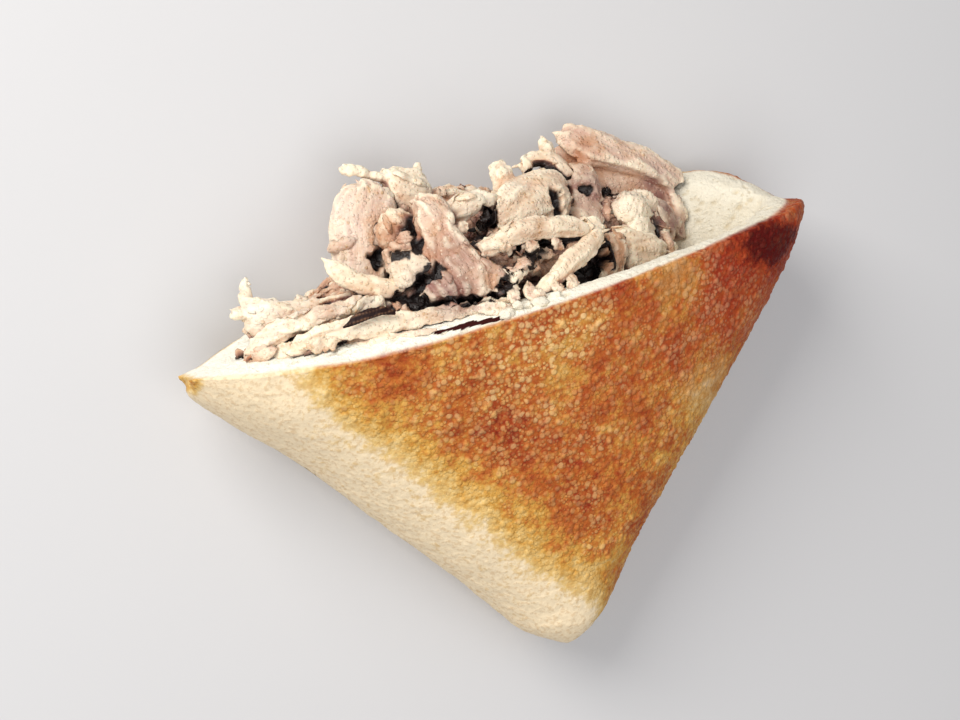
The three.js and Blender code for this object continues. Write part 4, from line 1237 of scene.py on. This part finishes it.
def add_loose_bits(meat, points, outward, axis, amount, rng):
    """Short blunt bits that stand off a piece, mostly at its ends."""
    along = points @ axis
    middle = (along.max() + along.min()) / 2
    half = (along.max() - along.min()) / 2
    weight = BIT_BESIDE + (np.abs(along - middle) / half) ** 3
    chosen = rng.choice(len(points), amount, replace=False, p=weight / weight.sum())
    sign = np.sign(along[chosen] - middle)[:, None]
    ways = unit(axis * sign + BIT_OUTWARD * outward[chosen] + BIT_SPREAD * rng.normal(size=(amount, 3)))
    bends = BIT_SPREAD * rng.normal(size=(amount, 3)) - BIT_DROOP * outward[chosen]
    lengths = rng.uniform(*BIT_LENGTHS, amount)
    radii = rng.uniform(*BIT_RADII, amount)
    bits, faces, grain = bit_points(points[chosen] - BIT_ROOT * ways, ways, bends, lengths, radii)
    around = np.repeat(outward[chosen], len(bits) // amount, axis=0)
    meat.add_meat(bits, faces, around, grain, np.full(len(bits), BIT_DEEP))


def add_flakes(meat, points, faces, outward, choices, amount, lengths, widths, spread, rng):
    """Flat torn shreds over a surface, at some of the chosen points, spread about their way."""
    if amount == 0:
        return
    polygons = list(itertools.chain.from_iterable(f.tolist() for f in faces))
    tree = BVHTree.FromPolygons(points.tolist(), polygons)
    paths, ups = [], []
    for start in rng.choice(choices, amount):
        up = outward[start]
        way = rng.normal(size=3) @ spread
        way = unit(way - up * (way @ up))
        length = rng.uniform(*lengths)
        path, side = [], []
        for step in np.linspace(-0.5, 0.5, SHRED_POINTS):
            place, normal, _, _ = tree.find_nearest(Vector(points[start] + way * length * step))
            lift = SHRED_LIFT + SHRED_CURL * abs(step) + SHRED_LIFT_CHANGE * rng.normal()
            path.append(np.array(place) + np.array(normal) * lift)
            side.append(np.array(normal))
        paths.append(path)
        ups.append(side)
    widths = rng.uniform(*widths, amount)
    thicks = widths * rng.uniform(*SHRED_THICKS, amount)
    shreds, shred_faces, grain = shred_points(
        np.array(paths), np.array(ups), widths, thicks, rng, SHRED_RINGS, SHRED_SIDES, SHRED_JAGGED)
    around = np.repeat(np.array(ups).mean(axis=1), len(shreds) // amount, axis=0)
    meat.add_meat(shreds, shred_faces, around, grain, np.full(len(shreds), SHRED_DEEP))


def ragged(points, faces, rough):
    """Outward notches and points along a piece's ridges, in millimetres."""
    ridge = smooth_step(-hollowness(points, faces, RIDGE_ROUNDS), *RIDGE_FROM)
    return (RAGGED_LEAST + rough) * ridge * noise(points, *RAGGED_RIDGES)


def folds_and_ridges(points, faces):
    """How deep in a fold, or below 0 how high on a ridge, each point is, for painted shade and highlights.
    """
    return DEEP_SCALE * hollowness(points, faces, *DEEP_ROUNDS)


def gap_dent(points, outward, settings):
    """How far each point is moved in by the dark gaps."""
    gap, reach = streak_mask(points, DARK_GAPS)
    return outward * (settings.dent * gap * reach)[:, None]


def make_torn_piece(meat, name, loose, flakes, rough, settings, rng):
    points, faces = remeshed(name, settings.grain / MM, PIECE_ROUNDS)
    outward = point_normals(points, faces)
    axes = long_axes(points)
    grain = fibre_frame(points, axes)
    lift = torn_relief(points, grain, rough, settings.relief / MM) + ragged(points, faces, rough)
    points = points + outward * (PIECE_PROUD + lift)[:, None] + frayed(points, grain, axes[0], rough)
    dent = gap_dent(points, outward, settings)
    meat.add_meat(points - dent, faces, outward, grain, folds_and_ridges(points, faces), dent)
    add_loose_bits(meat, points, outward, axes[0], loose, rng)
    add_flakes(meat, points, faces, outward, len(points), flakes, FLAKE_LENGTHS, FLAKE_WIDTHS,
               axes * FLAKE_SPREAD, rng)


def smooth_paths(paths, rings):
    """Even points along smooth curves through a few points each."""
    count = paths.shape[1]
    place = np.linspace(0, count - 1, rings)
    first = np.clip(np.floor(place).astype(int), 0, count - 2)
    t = (place - first)[None, :, None]
    before, start, end, after = (paths[:, np.clip(first + step, 0, count - 1)] for step in (-1, 0, 1, 2))
    return 0.5 * (2 * start + (end - before) * t + (2 * before - 5 * start + 4 * end - after) * t ** 2
                  + (3 * start - before - 3 * end + after) * t ** 3)


def shred_points(paths, ups, widths, thicks, rng, rings, sides, jagged):
    """Torn shreds along paths that lie on a surface, all as one mesh."""
    centre = smooth_paths(paths, rings)
    up = smooth_paths(ups, rings)
    along = unit(np.gradient(centre, axis=1))
    aside = unit(np.cross(up, along))
    up = np.cross(along, aside)
    turn = 2 * np.pi * np.arange(sides) / sides
    share = np.linspace(0, 1, rings)[None, :]
    first, last = rng.uniform(*SHRED_ENDS, (len(paths), 2)).T[:, :, None]
    shape = np.minimum(first + SHRED_SWELL * share, 1) * np.minimum(last + SHRED_SWELL * (1 - share), 1)
    uneven = 1 + jagged * rng.normal(size=(len(paths), rings, sides))
    uneven = (uneven + np.roll(uneven, 1, axis=1) + np.roll(uneven, 1, axis=2)) / 3
    size = (shape[:, :, None] * uneven)[..., None]
    wide = np.cos(turn) * widths[:, None, None] / 2
    thick = np.sin(turn) * thicks[:, None, None] / 2
    points = centre[:, :, None] + size * (
        aside[:, :, None] * wide[..., None] + up[:, :, None] * thick[..., None])
    length = np.linalg.norm(np.diff(centre, axis=1), axis=-1).sum(axis=1)
    grain = np.stack(np.broadcast_arrays(
        (share * length[:, None])[:, :, None], wide, thick), axis=-1).reshape(-1, 3)
    apart = np.repeat(np.arange(len(paths)) * SHRED_GRAIN_APART, rings * sides)[:, None]
    return points.reshape(-1, 3), tube_faces(len(paths), rings, sides), grain + apart


def make_filling(meat, settings, rng):
    points, faces = remeshed("filling", FILLING_STEP, PIECE_ROUNDS)
    outward = point_normals(points, faces)
    grain = fibre_frame(points, np.eye(3))
    points = points + outward * torn_relief(points, grain, FILLING_ROUGH, settings.relief / MM)[:, None]
    dent = gap_dent(points, outward, settings)
    deep = FILLING_DEEPER + folds_and_ridges(points, faces)
    meat.add_meat(points - dent, faces, outward, grain, deep, dent)
    facing = outward[:, 1] + outward[:, 2] > FILLING_FACING
    open_side = np.flatnonzero((points[:, 1] > FILLING_BACK) & facing)
    add_flakes(meat, points, faces, outward, open_side, settings.shreds, SHRED_LENGTHS, SHRED_WIDTHS,
               np.diag(SHRED_SPREAD), rng)
    add_bridges(meat, settings, rng)


def add_bridges(meat, settings, rng):
    paths = np.array([[start, bend, end] for start, bend, end, *_ in BRIDGES])
    widths = np.array([width for *_, width, _ in BRIDGES])
    points, faces, grain = shred_points(
        paths, np.broadcast_to(BRIDGE_UP, paths.shape), widths, widths * BRIDGE_THICK, rng,
        BRIDGE_RINGS, BRIDGE_SIDES, BRIDGE_JAGGED)
    outward = point_normals(points, faces)
    points = points + outward * torn_relief(points, grain, BRIDGE_ROUGH, settings.relief / MM)[:, None]
    tint = np.repeat([tint for *_, tint in BRIDGES], len(points) // len(BRIDGES))
    deep = folds_and_ridges(points, faces)
    meat.add_meat(points, faces, outward, grain, deep, tint=tint, gloom=BRIDGE_GLOOM)


def make_herb(settings):
    points, faces = remeshed("herb_strip", HERB_STEP, HERB_ROUNDS)
    grain = points @ long_axes(points).T
    wrinkles = noise(grain * HERB_STRETCH, *HERB_WRINKLES)
    rows = np.sin(2 * np.pi * grain[:, 1] / HERB_ROW + HERB_ROW_WAVE * wrinkles)
    low, more = HERB_BEADS
    beads = low + more * np.sin(2 * np.pi * grain[:, 0] / HERB_BEAD + HERB_BEAD_WAVE * wrinkles)
    ridges = HERB_HEIGHT * rows * beads + HERB_WRINKLE * wrinkles
    lift = point_normals(points, faces) * (ridges - HERB_SINK)[:, None]
    surface = Surface()
    surface.add(points + lift, faces, grain=grain, deep=-ridges * HERB_DEEP)
    return surface


# ---- Shader parts ----------------------------------------------------------------------------

class Wire:
    """A value or colour in a shader. What is worked out with it becomes nodes."""

    def __init__(self, socket):
        self.socket = socket
        self.tree = socket.id_data

    def math(self, operation, first, second):
        return wire(self.tree, "Math", 0, {0: first, 1: second}, operation=operation)

    def __add__(self, other):
        return self.math("ADD", self, other)

    def __sub__(self, other):
        return self.math("SUBTRACT", self, other)

    def __rsub__(self, other):
        return self.math("SUBTRACT", other, self)

    def __mul__(self, other):
        return self.math("MULTIPLY", self, other)

    def __rtruediv__(self, other):
        return self.math("DIVIDE", other, self)

    def larger(self, other):
        return self.math("MAXIMUM", self, other)

    def step(self, low, high, to_low=0.0, to_high=1.0):
        """A smooth step from one value to another."""
        limits = {"Value": self, "From Min": low, "From Max": high, "To Min": to_low, "To Max": to_high}
        return wire(self.tree, "MapRange", "Result", limits, interpolation_type="SMOOTHSTEP")


def connect(socket, value):
    """Links a socket to a wire, or sets it to a plain value."""
    if isinstance(value, Wire):
        value.tree.links.new(value.socket, socket)
    else:
        socket.default_value = value


def node(tree, kind, inputs=None, **settings):
    """Adds a shader node, with sockets that are linked or set."""
    made = tree.nodes.new("ShaderNode" + kind)
    for name, value in settings.items():
        setattr(made, name, value)
    for name, value in (inputs or {}).items():
        connect(made.inputs[name], value)
    return made


def wire(tree, kind, output, inputs=None, **settings):
    """Adds a shader node and gives one of its outputs."""
    return Wire(node(tree, kind, inputs, **settings).outputs[output])


def blend(share, first, second):
    """One colour that gives way to another."""
    made = node(share.tree, "Mix", data_type="RGBA")
    colours = [value if isinstance(value, Wire) else (*value, 1.0) for value in (first, second)]
    for place, value in zip(COLOUR_MIX_SOCKETS, (share, *colours)):
        connect(made.inputs[place], value)
    return Wire(made.outputs[COLOUR_MIX_RESULT])


def attribute(tree, name, output="Fac"):
    return wire(tree, "Attribute", output, attribute_name=name)


def object_place(tree):
    return wire(tree, "TexCoord", "Object")


def new_group(name, inputs, outputs):
    """An empty node group, the wires that it is given, and the sockets that it has to fill."""
    group = bpy.data.node_groups.new(name, "ShaderNodeTree")
    for socket, kind, default in inputs:
        made = group.interface.new_socket(name=socket, in_out="INPUT", socket_type=kind)
        if default is not None:
            made.default_value = default
    for socket in outputs:
        group.interface.new_socket(name=socket, in_out="OUTPUT", socket_type="NodeSocketFloat")
    given = {socket.name: Wire(socket) for socket in group.nodes.new("NodeGroupInput").outputs}
    return group, given, group.nodes.new("NodeGroupOutput").inputs


def grain_group():
    """Long fibres: the height of their surface, and how light or dark each one is."""
    group, given, result = new_group("long_fibres", (
        ("Grain", "NodeSocketVector", None),
        ("Width", "NodeSocketFloat", 0.5),
        ("Length", "NodeSocketFloat", 7.0)), ("Height", "Tone"))
    squeeze = wire(group, "CombineXYZ", 0, {"X": 1.0 / given["Length"], "Y": 1.0, "Z": 1.0})
    place = wire(group, "VectorMath", 0, {0: given["Grain"], 1: squeeze}, operation="MULTIPLY")
    fineness = 1.0 / given["Width"]
    fine = {"Vector": place, "Scale": fineness, **FINE_FIBRES}
    broad = {"Vector": place, "Scale": fineness * TONE_COARSER, **BROAD_FIBRES}
    connect(result["Height"], wire(group, "TexNoise", "Fac", fine))
    connect(result["Tone"], wire(group, "TexNoise", "Fac", broad))
    return group


def dots_group():
    """Scattered round dots: their mask and a number for each."""
    group, given, result = new_group("round_dots", (
        ("Place", "NodeSocketVector", None),
        ("Spacing", "NodeSocketFloat", 0.001),
        ("Small", "NodeSocketFloat", 0.2),
        ("Large", "NodeSocketFloat", 0.5)), ("Mask", "Number"))
    cells = node(group, "TexVoronoi", {
        "Vector": given["Place"], "Scale": 1.0 / given["Spacing"], "Randomness": 1.0})
    number = wire(group, "SeparateColor", "Red", {"Color": Wire(cells.outputs["Color"])})
    size = wire(group, "MapRange", "Result", {
        "Value": number, "To Min": given["Small"], "To Max": given["Large"]})
    connect(result["Mask"], Wire(cells.outputs["Distance"]).step(size * DOT_CORE, size, 1.0, 0.0))
    connect(result["Number"], number)
    return group


def mottle_group():
    """Soft cloudy patches."""
    group, given, result = new_group("soft_patches", (
        ("Place", "NodeSocketVector", None),
        ("Size", "NodeSocketFloat", 0.004)), ("Value",))
    inputs = {"Vector": given["Place"], "Scale": 1.0 / given["Size"], **PATCH_NOISE}
    connect(result["Value"], wire(group, "TexNoise", "Fac", inputs).step(*PATCH_CONTRAST))
    return group


def shared_group(name):
    """The shared node group of that name, built the first time that it is asked for."""
    makers = {"long_fibres": grain_group, "round_dots": dots_group, "soft_patches": mottle_group}
    return bpy.data.node_groups.get(name) or makers[name]()


def use_group(tree, name, **inputs):
    """Places a shared node group and gives its outputs by name."""
    made = tree.nodes.new("ShaderNodeGroup")
    made.node_tree = shared_group(name)
    for socket, value in inputs.items():
        connect(made.inputs[socket], value)
    return {socket.name: Wire(socket) for socket in made.outputs}


def fibres(tree, width, length):
    """The height and the tone of long fibres, sized in millimetres."""
    grain = attribute(tree, "grain", "Vector")
    made = use_group(tree, "long_fibres", Grain=grain, Width=width, Length=length)
    return made["Height"], made["Tone"]


def dots(place, spacing, small, large):
    """The mask and the numbers of dots, spaced in millimetres and sized as shares of that."""
    made = use_group(place.tree, "round_dots", Place=place, Spacing=spacing * MM, Small=small, Large=large)
    return made["Mask"], made["Number"]


def patches(place, size):
    return use_group(place.tree, "soft_patches", Place=place, Size=size * MM)["Value"]


def new_material(name):
    """A material with its shader, whose nodes are otherwise empty."""
    material = bpy.data.materials.new(name)
    material.use_nodes = True
    return material, material.node_tree, material.node_tree.nodes["Principled BSDF"]


def finish_surface(shader, colour, roughness, height, depth):
    """Links the colour, the roughness and a bump, whose depth is in millimetres."""
    bump = wire(colour.tree, "Bump", "Normal", {"Height": height, "Strength": 1.0, "Distance": depth * MM})
    for socket, value in (("Base Color", colour), ("Roughness", roughness), ("Normal", bump)):
        connect(shader.inputs[socket], value)


# ---- Materials -------------------------------------------------------------------------------

def crust_material(settings):
    material, tree, shader = new_material("baked_crust")
    place = object_place(tree)
    toast, crumb, blister, red, dotty, stain = (attribute(tree, name) for name in CRUST_VALUES)
    small, small_number = dots(place, *SMALL_DOTS)
    tiny, tiny_number = dots(place, *TINY_DOTS)
    pore, _ = dots(place, *CRUMB_PORES)
    cloud, broad, speck = (patches(place, size) for size in CRUST_PATCHES)

    ramp = node(tree, "ValToRGB", {"Fac": toast + (cloud - 0.5) * CLOUDY + (speck - 0.5) * SPECKLED})
    stops = ramp.color_ramp.elements
    while len(stops) < len(CRUST_TONES):
        stops.new(0.5)
    for stop, (position, tone) in zip(stops, CRUST_TONES):
        stop.position = position
        stop.color = (*getattr(settings, tone), 1.0)
    toasted = toast.step(*TOASTED)
    skin = blend(red * toasted * toast.step(*RED_WEAKENS), Wire(ramp.outputs["Color"]), settings.red)

    tops = (small * small_number.step(*SMALL_SHOWN)).larger(tiny * tiny_number.step(*TINY_SHOWN))
    tops = tops.larger(blister * BLISTERS_SHOWN)
    shown = broad.step(*TOPS_PATCHY) + dotty * TOPS_DOTTY
    top_colour = blend(small_number.step(*PALE_TOPS), settings.blister, settings.pale_blister)
    top_colour = blend(red * ROSY_TOPS, top_colour, settings.rosy_blister)
    skin = blend(tops * toasted * (toast.step(*TOPS_FADE) * shown), skin, top_colour)
    skin = blend((1.0 - toasted) * speck.step(*PALE_MOTTLED), skin, settings.mottled)

    # Painted shade on the crumb: darker in its pores and towards the right end, with cloudy patches.
    pits = (pore * PORES_SHOWN).larger(blister * PITS_SHOWN)
    shaded = pits + cloud * CRUMB_CLOUDY + red * CRUMB_SHADED
    colour = blend(crumb, skin, blend(shaded, settings.crumb, settings.crumb_shade))
    # Painted shade on the crumb under the shreds' lower edges.
    colour = blend(stain.step(*SHRED_SHADOWED), colour, settings.stain)

    roughness = speck.step(*CRUST_ROUGH).larger(crumb * CRUMB_ROUGH)
    height = (speck - pits) * crumb + (tops * toasted + speck * SPECK_HEIGHT) * (1.0 - crumb)
    shader.inputs["Specular IOR Level"].default_value = CRUST_SHEEN
    finish_surface(shader, colour, roughness, height, CRUST_BUMP)
    return material


def meat_material(name, colour, settings, speckle):
    """Torn chicken in one of its colours, with paler fibres, painted highlights and glints, and painted
    shade in folds and gaps.
    """
    material, tree, shader = new_material(name)
    place = object_place(tree)
    deep, crowd, tint, mauve, brown, dark = (attribute(tree, value) for value in MEAT_VALUES)
    fibre_height, fibre_tone = fibres(tree, *MEAT_FIBRES)
    cloud, patch = (patches(place, size) for size in MEAT_PATCHES)
    specks, specks_number = dots(place, *MEAT_SPECKS)
    glints, glints_number = dots(place, *MEAT_GLINTS)

    body = blend(tint.step(0.0, 1.0), colour, settings.cream)
    body = blend(tint.step(0.0, -1.0), body, settings.rosy)
    body = blend(cloud * MEAT_TANNED, body, settings.tan)
    body = blend(fibre_tone.step(*FIBRE_TONES) * FIBRES_LIT, body, settings.light)
    golden = patch.step(*GOLDEN_PATCHES) * (specks * specks_number.step(*SPECKS_SHOWN) + GOLDEN_LEAST)
    body = blend(golden * speckle, body, settings.golden)
    # Painted warm shade where the pieces crowd, and in folds.
    warm_shade = crowd.step(*CROWD_WARM_SHADE) * patch.step(*WARM_SHADE_PATCHY)
    body = blend(warm_shade.larger(deep.step(*FOLD_WARM_SHADE)), body, settings.warm_shade)
    # Painted highlight: ridges are made lighter.
    ridge = deep.step(*RIDGES)
    body = blend(ridge * RIDGES_LIT, body, settings.light)
    # Painted mauve shade where the pieces crowd, and at the mauve spots.
    low = crowd.step(*CROWD_MAUVE_SHADE) * patch.step(*DARKER_PATCHY)
    body = blend(low.larger(mauve) * MAUVE_SHADE_MOST, body, settings.mauve)
    body = blend(ridge * MAUVE_RIDGES_LIT, body, settings.light)
    # Painted glints: small bright dots.
    body = blend(glints * glints_number.step(*GLINTS_SHOWN) * speckle, body, settings.light)
    body = blend(brown * patch.step(*DARKER_PATCHY), body, settings.browned)
    # Painted shade: black in deep folds, in crowded gaps and along the dark gaps.
    gap = (deep.step(*FOLD_DARK) * FOLD_DARK_MOST).larger(crowd.step(*CROWD_BLACK))
    body = blend(gap.larger(dark.step(*GAP_BLACK)), body, settings.shade)

    shader.inputs["Subsurface Weight"].default_value = MEAT_GLOW
    shader.inputs["Subsurface Radius"].default_value = MEAT_GLOW_REACH
    shader.inputs["Subsurface Scale"].default_value = MEAT_GLOW_SCALE * MM
    height = fibre_height * FIBRE_HEIGHT + specks * SPECKS_HEIGHT
    finish_surface(shader, body, fibre_height.step(*MEAT_ROUGH), height, MEAT_BUMP)
    return material


def herb_material(settings):
    material, tree, shader = new_material("dark_strip")
    fibre_height, fibre_tone = fibres(tree, *HERB_FIBRES)
    ridge = attribute(tree, "deep").step(*HERB_RIDGES)
    # Painted highlight: the herb's raised rows are made lighter.
    colour = blend(ridge * HERB_RIDGES_LIT, settings.herb, settings.tan)
    shader.inputs["Specular IOR Level"].default_value = HERB_SHEEN
    finish_surface(shader, colour, fibre_tone.step(*HERB_ROUGH), fibre_height, HERB_BUMP)
    return material


def floor_material(settings):
    material, tree, shader = new_material("plain_floor")
    darker = tuple(FLOOR_DARKER * value for value in settings.floor)
    colour = blend(patches(object_place(tree), FLOOR_PATCH), settings.floor, darker)
    connect(shader.inputs["Base Color"], colour)
    shader.inputs["Roughness"].default_value = FLOOR_ROUGH
    return material


def meat_materials(settings):
    """The three meat finishes by slot, made once."""
    made = {}
    for slot, (name, tone, speckle) in MEAT_FINISHES.items():
        colour = getattr(settings, tone)
        made[slot] = bpy.data.materials.get(name) or meat_material(name, colour, settings, speckle)
    return made


# ---- Operators -------------------------------------------------------------------------------

class POCKET_OT_bread(bpy.types.Operator):
    """Bakes the bread pocket with its blistered crust and cut crumb"""

    bl_idname = "pocket.bread"
    bl_label = "Bread"

    def execute(self, context):
        settings = context.scene.pocket_bread
        piece = make_bread(settings).build("bread_loaf", crust_material(settings))
        fit_in_frame(piece, "bread")
        return {"FINISHED"}


class POCKET_OT_filling(bpy.types.Operator):
    """Packs the filling's core and covers it with small shreds"""

    bl_idname = "pocket.filling"
    bl_label = "Packed Filling"

    def execute(self, context):
        settings = context.scene.pocket_chicken
        rng = np.random.default_rng(settings.seed)
        meat = Meat(Crowding(frame["nodes"]), FILLING_TINT, FILLING_GLOOM)
        make_filling(meat, settings, rng)
        piece = meat.build("packed_shreds", meat_materials(settings)["meat_pink"])
        fit_in_frame(piece, "filling")
        return {"FINISHED"}


class POCKET_OT_chicken(bpy.types.Operator):
    """Tears the larger pieces of chicken, with fibres and frayed ends"""

    bl_idname = "pocket.chicken"
    bl_label = "Torn Chicken"

    def execute(self, context):
        settings = context.scene.pocket_chicken
        materials = meat_materials(settings)
        crowding = Crowding(frame["nodes"])
        for number, (name, slot, loose, flakes, rough, tint, gloom) in enumerate(TORN_PIECES):
            rng = np.random.default_rng(settings.seed + TORN_SEED + number)
            meat = Meat(crowding, tint, gloom)
            make_torn_piece(meat, name, loose, flakes, rough, settings, rng)
            piece = meat.build("torn_" + name, materials[slot])
            fit_in_frame(piece, name)
        return {"FINISHED"}


class POCKET_OT_herb(bpy.types.Operator):
    """Adds the dark ridged strip that lies on the chicken"""

    bl_idname = "pocket.herb"
    bl_label = "Dark Strip"

    def execute(self, context):
        settings = context.scene.pocket_chicken
        piece = make_herb(settings).build("ridged_strip", herb_material(settings))
        fit_in_frame(piece, "herb_strip")
        return {"FINISHED"}


class POCKET_OT_stage(bpy.types.Operator):
    """Sets up the floor, the lights and the camera"""

    bl_idname = "pocket.stage"
    bl_label = "Stage"

    def execute(self, context):
        settings = context.scene.pocket_stage
        make_floor(settings)
        add_light("key_light", settings.key, *KEY_LIGHT)
        add_light("fill_light", settings.fill, *FILL_LIGHT)
        world = context.scene.world or bpy.data.worlds.new("even_light")
        context.scene.world = world
        world.use_nodes = True
        sky = world.node_tree.nodes["Background"]
        sky.inputs["Color"].default_value = SKY_COLOUR
        sky.inputs["Strength"].default_value = settings.sky
        context.scene.view_settings.view_transform = "Standard"
        add_camera(context)
        return {"FINISHED"}


def make_floor(settings):
    half = settings.floor_size / 2
    mesh = bpy.data.meshes.new("floor")
    corners = [(-half, -half, 0), (half, -half, 0), (half, half, 0), (-half, half, 0)]
    mesh.from_pydata(corners, [], [(0, 1, 2, 3)])
    mesh.materials.append(floor_material(settings))
    floor = bpy.data.objects.new("floor", mesh)
    bpy.context.scene.collection.objects.link(floor)


def add_light(name, power, place, size, colour):
    """A square soft light that faces the food, placed in millimetres."""
    light = bpy.data.lights.new(name, "AREA")
    light.size = size * MM
    light.energy = power
    light.color = colour
    lamp = bpy.data.objects.new(name, light)
    lamp.location = Vector(place) * MM
    lamp.rotation_euler = lamp.location.to_track_quat("Z", "Y").to_euler()
    bpy.context.scene.collection.objects.link(lamp)


def add_camera(context):
    camera = bpy.data.objects.new("camera", bpy.data.cameras.new("camera"))
    camera.data.lens = CAMERA_LENS
    camera.data.sensor_width = SENSOR_WIDTH
    camera.data.clip_start = CAMERA_NEAR * MM
    turn = Matrix((CAMERA_RIGHT, CAMERA_UP, CAMERA_BACK)).transposed().to_4x4()
    camera.matrix_world = Matrix.Translation(Vector(CAMERA_PLACE) * MM) @ turn
    context.scene.collection.objects.link(camera)
    context.scene.camera = camera


class POCKET_PT_pieces(bpy.types.Panel):
    """Lists the pieces in the order in which they are made"""

    bl_label = "Stuffed Bread Pocket"
    bl_space_type = "VIEW_3D"
    bl_region_type = "UI"
    bl_category = "Pocket"

    def draw(self, context):
        for operator in OPERATORS:
            self.layout.operator(operator.bl_idname)
        scene = context.scene
        for settings in (scene.pocket_bread, scene.pocket_chicken, scene.pocket_stage):
            box = self.layout.box()
            for name in settings.bl_rna.properties.keys():
                if name not in ("rna_type", "name"):
                    box.prop(settings, name)


OPERATORS = (POCKET_OT_stage, POCKET_OT_bread, POCKET_OT_filling, POCKET_OT_chicken, POCKET_OT_herb)
CLASSES = (BreadSettings, ChickenSettings, StageSettings, *OPERATORS, POCKET_PT_pieces)


def register():
    for cls in CLASSES:
        bpy.utils.register_class(cls)
    bpy.types.Scene.pocket_bread = bpy.props.PointerProperty(type=BreadSettings)
    bpy.types.Scene.pocket_chicken = bpy.props.PointerProperty(type=ChickenSettings)
    bpy.types.Scene.pocket_stage = bpy.props.PointerProperty(type=StageSettings)


def unregister():
    del bpy.types.Scene.pocket_stage
    del bpy.types.Scene.pocket_chicken
    del bpy.types.Scene.pocket_bread
    for cls in reversed(CLASSES):
        bpy.utils.unregister_class(cls)


def main():
    register()
    bpy.ops.pocket.stage()
    bpy.ops.pocket.bread()
    bpy.ops.pocket.filling()
    bpy.ops.pocket.chicken()
    bpy.ops.pocket.herb()


if __name__ == "__main__":
    main()
